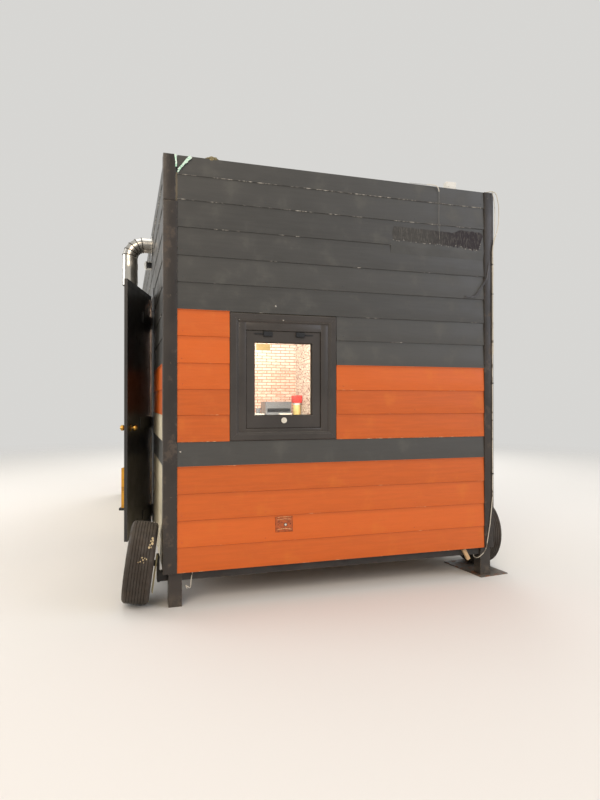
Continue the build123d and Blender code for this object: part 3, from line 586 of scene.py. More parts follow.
def nailHeads():
    # Nails along the boards, punched and painted over
    values = {"radius": 0.0042, "proud": 0.0011, "up": 0.030, "spacing": 0.52, "fromEnd": 0.03,
              "clear": 0.01, "set": 0.0006}
    colours = {"dark": ("Anthracite", "#35393c", "#6a4a34"), "orange": ("Orange", "#c2531b", "#7b4a2c"),
               "cream": ("Cream", "#b9ad8c", "#7b5a3c")}
    look = {"stainMm": 20, "stainShare": 0.25, "dust": 0}
    paints = [weathered("OverpaintedNail" + label, colour, 0.5, stain=stain, **look)
              for label, colour, stain in colours.values()]
    radius, head = values["radius"], 0.0008 + values["proud"]
    profile = [(-0.002, 0), (-0.002, radius), (0.0008, radius), (head, radius * 0.6), (head + 0.0002, 0)]
    bm = bmesh.new()
    for place, out, span, holes, paintOf, breaksOf in walls.values():
        run = span[1] - span[0] - 2 * values["fromEnd"]
        count = round(run / values["spacing"])
        for index, (low, high) in enumerate(zip(boards["edges"], boards["edges"][1:])):
            for k in range(count + 1):
                u = span[0] + values["fromEnd"] + run * k / count + rng.uniform(-0.006, 0.006)
                z = low + values["up"] + rng.uniform(-0.004, 0.004)
                clear = values["clear"]
                if any(h[0] - clear < u < h[1] + clear and h[2] - clear < z < h[3] + clear for h in holes):
                    continue
                depth = frontDepth(z - low, high - low) - values["set"]
                turned(bm, place(u, depth, z), out, profile, 8, paint=colourIndex[paintOf(index, u)])
    finishPiece(bm, "BoardNails", paints)


nailHeads()


def cornerBoards():
    # Each L is two planks; the near left one is in two lengths with a torn inner edge
    values = {"thick": halfWidth - wallX, "joint": 2.673, "gap": 0.0022, "clear": 0.0006,
              "upperWidth": 0.081, "torn": 0.006, "tornStep": 0.012, "lean": 0.002,
              "screw": 0.0048, "screwStep": 0.44, "firstScrew": 0.06, "sideScrew": 0.058, "sink": 0.0012}
    low, high = cornerLow.z, cornerHigh.z
    head = [(-0.004, 0), (-0.004, values["screw"]), (0.0014, values["screw"]), (0.0019, 0.002), (0.0006, 0)]
    for end, standsFor, name in ((-1, "front_corner_boards", "FrontCornerBoards"),
                                 (1, "back_corner_boards", "BackCornerBoards")):
        bm, screws = bmesh.new(), bmesh.new()
        face, back = end * halfLength, end * (halfLength - values["thick"])
        for side, width in ((-1, boards["cornerLeft"]), (1, boards["cornerRight"])):
            near = (side, end) == (-1, -1)
            outer = side * halfWidth
            breaks = [low, values["joint"], high] if near else [low, high]
            for z0, z1 in zip(breaks, breaks[1:]):
                lower = z0 + (values["gap"] if z0 > low else 0)
                wide = values["upperWidth"] if near and z0 > low else width
                steps = max(2, round((z1 - lower) / values["tornStep"])) if near else 2
                rings = []
                for k in range(steps):
                    z = lower + (z1 - lower) * k / (steps - 1)
                    ragged = 0.0
                    if near:
                        rough = noise.noise(Vector((0.0, 3.1, z * 26)))
                        rough += 0.6 * noise.noise(Vector((4.0, 1.0, z * 75)))
                        ragged = max(0.0, rough) * values["torn"] + (values["lean"] if z0 > low else 0.0)
                    inner = side * (halfWidth - wide + ragged)
                    rings.append([(outer, face, z), (inner, face, z), (inner, back, z), (outer, back, z)])
                loft(bm, rings)
                box(bm, (outer, end * (halfLength - values["thick"] - values["clear"]), lower),
                    (side * wallX, end * (halfLength - boards["cornerSide"]), z1))
            z = low + values["firstScrew"]
            while z < high - 0.03:
                x = side * (halfWidth - width * 0.5 + rng.uniform(-0.01, 0.01))
                turned(screws, (x, end * (halfLength - values["sink"]), z), (0, end, 0), head, 10)
                turned(screws, (side * (halfWidth - values["sink"]), end * (halfLength - values["sideScrew"]),
                                z + 0.03), (side, 0, 0), head, 10)
                z += values["screwStep"]
        finishPiece(bm, name, [trimPaint], bevel=0.0016, stands=(standsFor,))
        finishPiece(screws, name + "Screws", [trimPaint])


cornerBoards()
print("stage: corner boards made")


# Window
def mitred(bm, rect, profile, gap=0.0003):
    # Four members with mitred ends; profile is a closed loop of (inset from the outer edge, y)
    x0, x1, z0, z1 = rect
    for corner in range(4):
        ends = [[], []]
        for inset, y in profile:
            left, right, low, high = x0 + inset, x1 - inset, z0 + inset, z1 - inset
            corners = [Vector(c) for c in ((left, low), (right, low), (right, high), (left, high))]
            here, there = corners[corner], corners[(corner + 1) % 4]
            away = (there - here).normalized() * gap
            for ring, point in zip(ends, (here + away, there - away)):
                ring.append((point.x, y, point.y))
        loft(bm, ends)


def windowCasing():
    values = {"outer": ((0.0, 0.009), (0.003, 0.004), (0.009, 0.0)),
              "inner": ((0.021, 0.0), (0.017, 0.003), (0.010, 0.0045), (0.004, 0.010), (0.0005, 0.012))}
    low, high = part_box("window_casing")
    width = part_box("window_frame")[0].x - low.x
    profile = [(0.0, high.y)]
    profile += [(inset, low.y + back) for inset, back in values["outer"]]
    profile += [(width - inset, low.y + back) for inset, back in values["inner"]]
    profile.append((profile[-1][0], high.y))
    bm = bmesh.new()
    mitred(bm, (low.x, high.x, low.z, high.z), profile)
    finishPiece(bm, "WindowCasing", [framePaint], stands=("window_casing",), angle=22)


def windowFrame():
    # The frame is wider at its sides and top than at its foot, so it is made of four plain rails
    values = {"clear": 0.0003, "joint": 0.0002}
    low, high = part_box("window_frame")
    inner = rectAround("window_sash", 0, values["clear"])
    rails = [(low.x, inner[0], low.z, high.z), (inner[1], high.x, low.z, high.z),
             (inner[0], inner[1], low.z, inner[2]), (inner[0], inner[1], inner[3], high.z)]
    bm, joint = bmesh.new(), values["joint"]
    for x0, x1, z0, z1 in rails:
        box(bm, (x0 + joint, low.y, z0 + joint), (x1 - joint, high.y, z1 - joint))
    finishPiece(bm, "WindowFrame", [framePaint], bevel=0.0016,
                stands=("window_frame",))


def glazingGasket():
    # Rubber gasket round the pane, a fine dark line inside the sash
    values = {"inset": 0.010, "section": ((0.0002, 0.0004), (0.0002, 0.005), (0.0012, 0.0056),
                                          (0.0028, 0.002), (0.0028, 0.0004))}
    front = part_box("window_glass")[0].y
    bm = bmesh.new()
    section = [(inset, front - out) for inset, out in values["section"]]
    mitred(bm, rectAround("window_glass", 0, -values["inset"]), section)
    finishPiece(bm, "GlazingGasket", [blackPlastic], angle=22)


def glassFinish():
    material, tree, shader = begin("FloatGlassPane")
    at = put(tree, "TexCoord").outputs["Object"]
    smear = spread(tree, clouds(tree, at, 130, 4.0), 0.45, 0.75, 0.0, 0.10)
    wiped = maths(tree, "MULTIPLY", smear, 0.5)  # faint wipe marks
    feed(tree, shader, base=linear("#f4f7f5"), through=1.0, ior=1.5, rough=wiped)
    return material


def plateDetails():
    # Ragged ridges of scraped filler along the plate, its screw in a dark ring, and two empty holes shown as
    # dark discs of painted shade
    values = {
        "ridges": ((0.97, 0.002, 0.0045, 0.10, 0.92), (0.80, 0.005, 0.0050, 0.06, 0.94),
                   (0.12, 0.010, 0.0060, 0.08, 0.95)),
        "steps": 40, "ragged": 0.0016, "proud": 0.0016, "root": 0.0004, "screwAt": (0.58, 0.47),
        "ring": 0.0125, "hole": 0.0038, "holes": ((0.15, 0.001), (0.86, 0.004)),
        "screw": ((-0.002, 0), (-0.002, 0.0078), (0.0012, 0.0078), (0.0028, 0.0045), (0.0028, 0.0022),
                  (0.0012, 0.0015), (0.0012, 0)),
    }
    low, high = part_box("blanking_plate")
    face, wide, tall = low.y, high.x - low.x, high.z - low.z
    front, root, steps = face - values["proud"], face + values["root"], values["steps"]
    bm = bmesh.new()
    for part, bow, thick, start, end in values["ridges"]:
        rings = []
        for k in range(steps + 1):
            t = start + (end - start) * k / steps
            x = low.x + wide * t
            z = low.z + tall * part + bow * math.sin(math.pi * t)
            z += values["ragged"] * noise.noise(Vector((x * 160, part * 9, 0.5)))
            half = thick / 2 * (0.7 + 0.8 * abs(noise.noise(Vector((x * 210, part * 5, 4.0)))))
            half *= min(1.0, (k + 0.3) / 3, (steps - k + 0.3) / 3)
            section = ((root, -half), (front, -half / 2), (front, half / 2), (root, half))
            rings.append([(x, y, z + offset) for y, offset in section])
        loft(bm, rings)
    finishPiece(bm, "PlateRidges", [scrapedEdge], angle=25)

    across, height = values["screwAt"]
    x, z = low.x + wide * across, low.z + tall * height
    spots = [(x, z, values["ring"])]
    spots += [(low.x + wide * part, z + lift, values["hole"]) for part, lift in values["holes"]]
    # Dark discs: a ring round the screw, and painted shade standing in for the inside of each empty hole
    bm = bmesh.new()
    for spotX, spotZ, radius in spots:
        dome = [(-0.001, 0), (-0.001, radius), (0.0004, radius * 0.97), (0.0006, radius * 0.7), (0.0006, 0)]
        turned(bm, (spotX, face, spotZ), (0, -1, 0), dome, 20)
    finishPiece(bm, "PlateHoles", [darkRingAndHoleShade], angle=40)
    bm = bmesh.new()
    turned(bm, (x, face - 0.0006, z), (0, -1, 0), values["screw"], 18)
    finishPiece(bm, "PlateScrew", [lockEnamel], angle=30)


windowCasing()
windowFrame()
glazingGasket()
carried("window_sash", framePaint, bevel=0.0015)
carried("window_lock", lockEnamel, bevel=0.0006)
carried("window_hinges", blackPlastic, bevel=0.0012)
carried("window_glass", glassFinish())
carried("blanking_plate", orangePlate, bevel=0.0015)
plateDetails()
print("stage: window made")

# Door on the left side
carried("door_leaf door_straps", doorSteel, bevel=0.0016)
carried("door_jambs door_head door_sill door_pintles", frameSteel, bevel=0.0014)
carried("door_knob", brass, bevel=0.0008)
carried("door_ledge", blackPlastic, bevel=0.0015)
carried("door_tray", yellowPlastic, bevel=0.003)


# Duct with gored elbow
def circle(centre, side, other, radius, sides):
    turns = [2 * math.pi * k / sides for k in range(sides)]
    return [centre + (side * math.cos(a) + other * math.sin(a)) * radius for a in turns]


def duct():
    values = {
        "radius": (pipeHigh.y - pipeLow.y) / 2, "wall": 0.0015, "bend": 0.125, "gores": 5, "sides": 48,
        "seam": 0.0034, "seamHalf": 0.0045, "seamRoot": 0.0002, "hidden": 0.072,
        "swages": ((0.004, 0.0), (0.012, 0.0022), (0.060, 0.0022), (0.068, 0.0)),
        "foot": ((0.030, 0.0018), (0.020, 0.0)),
        "lapAngle": 2.4, "lap": ((-0.004, -0.0012), (0.004, 0.0026)), "lapEnds": (0.002, 0.07),
    }
    radius, sides = values["radius"], values["sides"]
    x = (pipeLow.x + pipeHigh.x) / 2
    elbowLow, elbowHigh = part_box("duct_elbow")
    centre = Vector((x + values["bend"], ductY, ductZ - values["bend"]))
    gore = math.radians(90 / values["gores"])
    reach = values["bend"] / math.cos(gore / 2)
    route = [Vector((elbowHigh.x, ductY, ductZ))]
    for i in range(values["gores"]):
        a = math.pi / 2 + (i + 0.5) * gore
        route.append(centre + Vector((math.cos(a), 0, math.sin(a))) * reach)
    route.append(Vector((x, ductY, elbowLow.z)))

    def ringAt(index, width, offset=0.0):
        # Each mitre lies halfway between the runs on its two sides
        first = max(1, index)
        before = (route[first] - route[first - 1]).normalized()
        after = (route[index + 1] - route[index]).normalized() if index < len(route) - 1 else before
        middle = (before + after).normalized()
        side = Vector((0, 1, 0))
        other = middle.cross(side).normalized() / max(0.2, before.dot(middle))
        return circle(route[index] + middle * offset, side, other, width, sides)

    bm = bmesh.new()
    outside = [ringAt(i, radius) for i in range(len(route))]
    inside = [ringAt(i, radius - values["wall"]) for i in reversed(range(len(route)))]
    loft(bm, outside + inside, closed=True)
    finishPiece(bm, "DuctElbow", [ductMetal], stands=("duct_elbow",), angle=9)
    bm = bmesh.new()
    half, root, crest = values["seamHalf"], radius + values["seamRoot"], radius + values["seam"]
    section = ((root, -half), (crest, -half * 0.55), (crest, half * 0.55), (root, half))
    for i in range(1, len(route) - 1):  # standing seam crimped over each mitre
        loft(bm, [ringAt(i, width, offset) for width, offset in section], closed=True)
    finishPiece(bm, "DuctSeams", [seamMetal], angle=30)

    top, low = elbowLow.z, pipeLow.z + values["hidden"]
    tall = top - low
    profile = [(0.0, radius)] + [(down, radius + proud) for down, proud in values["swages"]]
    profile += [(tall - rise, radius + proud) for rise, proud in values["foot"]]
    profile += [(tall, radius), (tall, radius - values["wall"]), (0.0, radius - values["wall"])]
    bm = bmesh.new()
    turned(bm, (x, ductY, top), (0, 0, -1), profile, sides, closed=True)
    seamX = x + radius * math.cos(values["lapAngle"])
    seamY = ductY + radius * math.sin(values["lapAngle"])
    (x0, y0), (x1, y1) = values["lap"]
    rise, drop = values["lapEnds"]
    box(bm, (seamX + x0, seamY + y0, low + rise), (seamX + x1, seamY + y1, top - drop))
    finishPiece(bm, "DuctPipe", [ductMetal], stands=("duct_pipe",), angle=18)


def wallLamp():
    # Cream housing with a smoked lens let into its near face
    values = {"chamfer": 0.014, "rim": 0.010, "draft": 0.0015, "recess": 0.005}
    bm = bmesh.new()
    box(bm, *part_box("wall_lamp"))
    bmesh.ops.recalc_face_normals(bm, faces=bm.faces[:])
    outer = min(bm.faces, key=lambda f: f.calc_center_median().x)
    bmesh.ops.bevel(bm, geom=list(outer.edges), offset=values["chamfer"], segments=1, profile=0.5,
                    affect="EDGES", material=-1)
    near = min(bm.faces, key=lambda f: f.normal.y)
    bmesh.ops.inset_region(bm, faces=[near], thickness=values["rim"], depth=0.0)
    bmesh.ops.inset_region(bm, faces=[near], thickness=values["draft"], depth=-values["recess"])
    near.material_index = 1
    finishPiece(bm, "WallLamp", [lampPlastic, lampLens], stands=("wall_lamp",))


duct()
carried("duct_collar", ductMetal, bevel=0.0006)
wallLamp()
print("stage: duct made")

# Chassis, legs and roof
carried("side_rails cross_members wheel_brackets", chassisSteel, bevel=0.004)
carried("legs", legSteel, bevel=0.004)
carried("packing_plate", plateSteel, bevel=0.001)
carried("floor_deck", underBoards, bevel=0.002)
carried("roof_deck end_roof_trims side_roof_trims", roofSheet, bevel=0.0015)
carried("roof_box", lampPlastic, bevel=0.002)


def roofSeams():
    # Lapped joints between the roof sheets, each with its row of screws
    values = {"sheets": 5, "fromSide": 0.090, "wide": 0.026, "root": 0.0002, "high": 0.0016,
              "screwStep": 0.22, "fromEnd": 0.03, "screw": 0.006}
    low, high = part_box("roof_deck")
    inside, half, top = halfWidth - values["fromSide"], values["wide"] / 2, high.z + values["high"]
    screw, run = values["screw"], 2 * (inside - values["fromEnd"])
    head = [(0, 0), (0, screw), (0.0012, screw), (0.004, screw * 0.5), (0.004, 0)]
    count = round(2 * inside / values["screwStep"])
    bm, heads = bmesh.new(), bmesh.new()
    for k in range(1, values["sheets"]):
        y = low.y + (high.y - low.y) * k / values["sheets"]
        box(bm, (-inside, y - half, high.z + values["root"]), (inside, y + half, top))
        for j in range(count + 1):
            x = values["fromEnd"] - inside + run * j / count + rng.uniform(-0.004, 0.004)
            turned(heads, (x, y, top + values["root"]), (0, 0, 1), head, 8)
    finishPiece(bm, "RoofSheetLaps", [roofSheet], bevel=0.0004, segments=1)
    finishPiece(heads, "RoofScrews", [zincSteel], angle=30)


roofSeams()
carried("front_wall back_wall left_wall_back left_wall_front left_wall_over_door right_wall", wallBoard)
carried("corner_cable", paleCable)
carried("cable_clips", blackPlastic)
carried("wall_cables", thinCable)


# Small things that hang on the end wall and its roof edge
def strip(bm, origin, points, widths, thick, face):
    # A flat ribbon in the plane of the end wall, through (x, z) points from an origin
    points, rings = [Vector(origin) + Vector(p) for p in points], []
    for k, point in enumerate(points):
        run = (points[min(len(points) - 1, k + 1)] - points[max(0, k - 1)]).normalized()
        across = Vector((-run.y, run.x)) * widths[k] / 2
        (x0, z0), (x1, z1), back = point + across, point - across, face - thick
        rings.append([(x0, face, z0), (x1, face, z1), (x1, back, z1), (x0, back, z0)])
    loft(bm, rings)


def lace(name, origin, points, radius, material, sides=8, steps=6):
    # A round line through points from an origin, smoothed between them
    path = [Vector(origin) + Vector(p) for p in points]
    smooth = []
    for k in range(len(path) - 1):
        a, b = path[max(0, k - 1)], path[k]
        c, d = path[k + 1], path[min(len(path) - 1, k + 2)]
        for t in [i / steps for i in range(steps)]:
            bend = (2 * a - 5 * b + 4 * c - d) * t * t + (3 * b - a - 3 * c + d) * t ** 3
            smooth.append(0.5 * (2 * b + (c - a) * t + bend))
    smooth.append(path[-1])
    side = Vector((0.31, 0.17, 0.93)).normalized()
    rings = []
    for k, point in enumerate(smooth):
        run = (smooth[min(k + 1, len(smooth) - 1)] - smooth[max(k - 1, 0)]).normalized()
        side = (side - run * side.dot(run)).normalized()
        rings.append(circle(point, side, run.cross(side), radius, sides))
    bm = bmesh.new()
    loft(bm, rings)
    finishPiece(bm, name, [material], angle=60)


def tornFinish():
    material, tree, shader = begin("TornPaintAndFibre")
    at = put(tree, "TexCoord").outputs["Object"]
    deep = put(tree, "Attribute", attribute_name="tone").outputs["Fac"]
    base = blendColours(tree, deep, linear("#42413e"), linear("#2a2529"))
    streaks = clouds(tree, stretched(tree, at, (1.0, 1.0, 0.25)), 9, 4.0, 0.65)
    fibres = spread(tree, streaks, 0.48, 0.66, 0.0, 0.5)
    base = blendColours(tree, fibres, base, linear("#5f5d58"))  # fibres pulled downwards
    pits = spread(tree, clouds(tree, at, 16, 5.0, 0.7), 0.55, 0.68, 0.0, 0.6)
    base = blendColours(tree, pits, base, linear("#1d1a1c"))  # dark pits where wood came away
    feed(tree, shader, base=base, rough=0.92, normal=relief(tree, streaks, 1.2))
    return material


def tornPatch():
    # Paint and top fibres ripped off under the second lap, faint at the left and deep at the right
    values = {"left": 1.640, "right": 2.412, "steps": 170, "rows": 8, "row": 13, "proud": 0.0010,
              "swell": 0.0010, "back": 0.003, "inset": 0.038, "flakes": 46}
    low, high = boards["edges"][values["row"]], boards["edges"][values["row"] + 1]
    start, wide, rows = values["left"] - halfWidth, values["right"] - values["left"], values["rows"]

    def edgesAt(part):
        x = values["left"] + wide * part
        top = high - values["inset"] - 0.012 * part + 0.008 * noise.noise(Vector((x * 33, 9.0, 1.0)))
        top += 0.024 * eased(part, 0.66, 0.74)
        bottom = low + values["inset"] - 0.014 * part + 0.012 * noise.noise(Vector((x * 17, 0.0, 3.0)))
        bottom += (0.010 + 0.016 * part) * noise.noise(Vector((x * 62, 5.0, 3.0)))
        bottom -= 0.010 * eased(part, 0.80, 0.86) * (1 - eased(part, 0.93, 0.97))
        bottom += 0.070 * eased(part, 0.95, 0.985)
        return x - halfWidth, bottom, top

    bm = bmesh.new()
    depthLayer = bm.faces.layers.float.new("tone")
    rings = []
    for k in range(values["steps"] + 1):
        part = k / values["steps"]
        x, bottom, top = edgesAt(part)
        ends = min(1.0, (part + 0.002) / 0.02, (1.002 - part) / 0.03)
        middle = (top + bottom) / 2
        column = []
        for j in range(rows + 1):
            z = middle + (bottom - middle + (top - bottom) * j / rows) * ends
            depth = frontDepth(z - low, high - low) + values["proud"]
            if 0 < j < rows:
                depth += values["swell"] * max(0.0, noise.noise(Vector((x * 60, z * 30, 7.0))))
            column.append((x, -wallY - depth, z))
        back = values["back"] + values["proud"]
        rings.append(column + [(x, y + back, z) for x, y, z in reversed(column)])
    loft(bm, rings)
    for face in bm.faces:
        middle = face.calc_center_median()
        part = (middle.x - start) / wide + 0.12 * noise.noise(middle * 40)
        face[depthLayer] = 0.15 + 0.85 * eased(part, 0.25, 0.85)
    finishPiece(bm, "TornBoardPatch", [tornFinish()], angle=20)

    bm = bmesh.new()
    for k in range(values["flakes"]):  # curled flakes of old paint along its lower edge
        x, bottom, top = edgesAt(0.97 * (1 - rng.random() ** 1.6))
        z = bottom + rng.uniform(-0.004, 0.002)
        depth = frontDepth(z - low, high - low)
        half, tall = rng.uniform(0.003, 0.010) / 2, rng.uniform(0.0015, 0.0035) / 2
        turn = Matrix.Rotation(rng.uniform(-0.5, 0.5), 4, "Y")
        turn = Matrix.Translation((x, -wallY - depth, z)) @ turn
        box(bm, (-half, -0.0022, -tall), (half, 0.0012, tall), turn)
    finishPiece(bm, "PaintFlakes", [flakePaint], angle=20)


def filledLap():
    # The lap under the torn patch was smoothed over with filler and painted, so its line is gone
    values = {"left": 1.628, "right": 2.4175, "row": 13, "height": 0.180, "steps": 60, "proud": 0.0009,
              "crest": 0.032, "below": 0.060, "feather": 0.0002, "root": 0.012}
    under, low = boards["edges"][values["row"] - 1], boards["edges"][values["row"]]
    proud, feather, root, full = values["proud"], values["feather"], values["root"], boards["thickLow"]
    rings = []
    for k in range(values["steps"] + 1):
        part = k / values["steps"]
        x = values["left"] + (values["right"] - values["left"]) * part
        crest = values["crest"] - 0.016 * part + 0.006 * noise.noise(Vector((x * 25, 2.0, 3.0)))
        foot = -values["below"]
        points = [(crest, frontDepth(crest, values["height"]) + feather),
                  (0.004, frontDepth(0.004, values["height"]) + proud),
                  (-0.006, full + proud * 0.4), (-0.026, full - 0.0016),
                  (foot, frontDepth(low + foot - under, low - under) + feather), (foot, root), (crest, root)]
        rings.append([(x - halfWidth, -wallY - depth, low + z) for z, depth in points])
    bm = bmesh.new()
    loft(bm, rings)
    finishPiece(bm, "FilledLap", [paintedFiller], angle=50)


def strapTails():
    # Two tails of a polypropylene strap that meet in a knot under the roof edge
    tails = (
        (((0.0763, 0.0), (0.083, -0.055), (0.081, -0.082)), (0.012, 0.011, 0.010), 0.0003),
        (((0.178, -0.005), (0.148, -0.036), (0.112, -0.083), (0.091, -0.118)),
         (0.023, 0.017, 0.012, 0.008), 0.0016),
        (((0.158, -0.040), (0.125, -0.062), (0.094, -0.098)), (0.009, 0.008, 0.006), 0.0030),
    )
    bm = bmesh.new()
    for points, widths, off in tails:
        strip(bm, (-halfWidth, boards["edges"][-1]), points, widths, 0.0012, -halfLength - off)
    finishPiece(bm, "StrapTails", [mintStrap], bevel=0.0003, segments=1)


def roofEdgeClod():
    values = {"centre": (0.322 - halfWidth, -wallY + 0.004, boards["edges"][-1] + 0.002),
              "size": (0.046, 0.024, 0.021), "lumps": 0.22, "grains": 0.10}
    bm = bmesh.new()
    bmesh.ops.create_icosphere(bm, subdivisions=4, radius=1.0)
    for vert in bm.verts:
        way = vert.co.normalized()
        reach = 1 + values["lumps"] * noise.noise(way * 2.2) + values["grains"] * noise.noise(way * 6.5)
        vert.co = Vector(values["centre"]) + way * reach * Vector(values["size"])
    finishPiece(bm, "RoofEdgeClod", [sealantClod], angle=60)


def thinLines():
    roofEdge, strand = boards["edges"][-1], -0.0115
    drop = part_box("cable_clips")[1].z - roofEdge
    # A thin pale line that leaves the roof edge, bends over and drops down the boards
    dropAt = (2.0227 - halfWidth, -halfLength, roofEdge)
    lace("DropLine", dropAt, [(-0.24, 0.010, 0.004), (-0.12, 0.004, 0.004), (-0.035, -0.003, 0.002),
                              (-0.004, -0.004, -0.020), (0, -0.004, -0.08), (-0.002, -0.004, -0.25),
                              (0.003, -0.004, -0.40)], 0.0013, greyCord)
    lace("DropLineBend", dropAt, [(-0.10, 0.003, 0.0045), (-0.045, -0.003, 0.0040),
                                  (-0.012, -0.0045, -0.008), (-0.001, -0.0045, -0.040)], 0.0034, paleCable)
    # A second strand of the corner cable that drops straight from the roof corner to the first clip
    lace("CornerStrand", (halfWidth, -halfLength, roofEdge),
         [(-0.05, 0.008, 0.005), (-0.018, -0.006, 0.004), (-0.004, strand, -0.05), (0.006, strand, -0.14),
          (0.003, strand, -0.30), (-0.012, strand, drop + 0.10), (-0.010, strand, drop - 0.05),
          (-0.013, strand, drop - 0.28), (-0.009, strand, drop - 0.70)], 0.0026, paleCable)


def brightScrews():
    # Heads of newer screws on the boards and on the window casing
    values = {"boards": ((0.757, 2.014, 0.0055), (0.1116, 1.0265, 0.0055)),
              "casing": ((0.810, 1.918, 0.0045), (0.503, 1.912, 0.0030), (0.503, 1.868, 0.0026)),
              "height": 0.17}
    spots = [(*spot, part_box("window_casing")[0].y) for spot in values["casing"]]
    for x, z, radius in values["boards"]:
        row = max(k for k, edge in enumerate(boards["edges"]) if edge < z)
        spots.append((x, z, radius, -wallY - frontDepth(z - boards["edges"][row], values["height"])))
    bm = bmesh.new()
    for x, z, radius, y in spots:
        head = [(-0.004, 0), (-0.004, radius), (0.0012, radius), (0.0024, radius * 0.55), (0.0008, 0)]
        turned(bm, (x - halfWidth, y, z), (0, -1, 0), head, 14)
    finishPiece(bm, "BrightScrews", [zincSteel], angle=30)


def underTheFrame():
    # Loose cable ends that hang down in front of the frame beside the near left leg
    lace("LooseCableEnds", (-halfWidth, -halfLength + 0.050, 0),
         [(0.200, 0.010, 0.236), (0.187, 0, 0.175), (0.181, -0.004, 0.122), (0.166, -0.008, 0.128),
          (0.152, -0.004, 0.1365), (0.160, -0.006, 0.1155)], 0.0032, paleCable)
    # A stub of sawn batten left against the frame beside the near right leg
    stub = {"ends": ((1.010, 0.222), (1.055, 0.140)), "wide": 0.028, "near": 0.034, "thick": 0.0235}
    bm = bmesh.new()
    strip(bm, (0, 0), stub["ends"], (stub["wide"],) * 2, -stub["thick"], -halfLength + stub["near"])
    finishPiece(bm, "PackingStub", [paleBatten], bevel=0.0015)
    # A thin cream plate on the stub axle, parallel to the leaning near left wheel
    plate = {"thick": 0.007, "near": -2.421, "far": -2.361, "ends": ((-1.3145, 0.078), (-1.2825, 0.323))}
    near, far, thick = plate["near"], plate["far"], plate["thick"]
    bm = bmesh.new()
    loft(bm, [[(x, near, z), (x + thick, near, z), (x + thick, far, z), (x, far, z)]
              for x, z in plate["ends"]])
    finishPiece(bm, "BracketBackPlate", [rimPaint], bevel=0.001)


strapTails()
roofEdgeClod()
thinLines()
filledLap()
tornPatch()
brightScrews()
underTheFrame()
print("stage: small pieces made")


# Wheels, each about the axis of its own joint
def wheelAxes(name):
    place = joints["wheel_spin_" + name]
    centre, axis = Vector(place["pos_m"]), Vector(place["axis"]).normalized()
    axis = axis if axis.x * centre.x > 0 else -axis
    side = sideOf(axis)
    return centre, axis, side, side.cross(axis).normalized()


def tyre(name):
    values = {
        "half": [(0.0600, 0.1785), (0.0650, 0.1800), (0.0700, 0.1860), (0.0760, 0.1950), (0.0830, 0.2060),
                 (0.0870, 0.2180), (0.0880, 0.2250), (0.0866, 0.2262), (0.0866, 0.2300), (0.0880, 0.2312),
                 (0.0874, 0.2400), (0.0856, 0.2490), (0.0815, 0.2565), (0.0758, 0.2625), (0.0728, 0.2650)],
        "ribs": 8, "edge": 0.0722, "shoulder": 0.2665, "top": 0.2696, "crown": 0.0016,
        "groove": 0.0026, "deep": 0.0052, "steps": 96,
    }
    centre, axis = wheelAxes(name)[:2]
    half, edge, wide = values["half"], values["edge"], values["groove"]
    tread = [(edge, values["shoulder"])]
    for k in range(1, values["ribs"]):  # straight grooves in a slightly crowned tread
        along = edge - 2 * edge * k / values["ribs"]
        top = values["top"] - values["crown"] * (along / edge) ** 2
        deep = top - values["deep"]
        tread += [(along + wide, top), (along + wide * 0.6, deep),
                  (along - wide * 0.6, deep), (along - wide, top)]
    tread.append((-edge, values["shoulder"]))
    section = half + tread + [(-along, radius) for along, radius in reversed(half)]
    bm = bmesh.new()
    turned(bm, centre, axis, section, values["steps"], closed=True)
    finishPiece(bm, "Tyre_" + name, [tyreRubber], body="wheel_" + name,
                stands=("tyre_" + name,), angle=26)


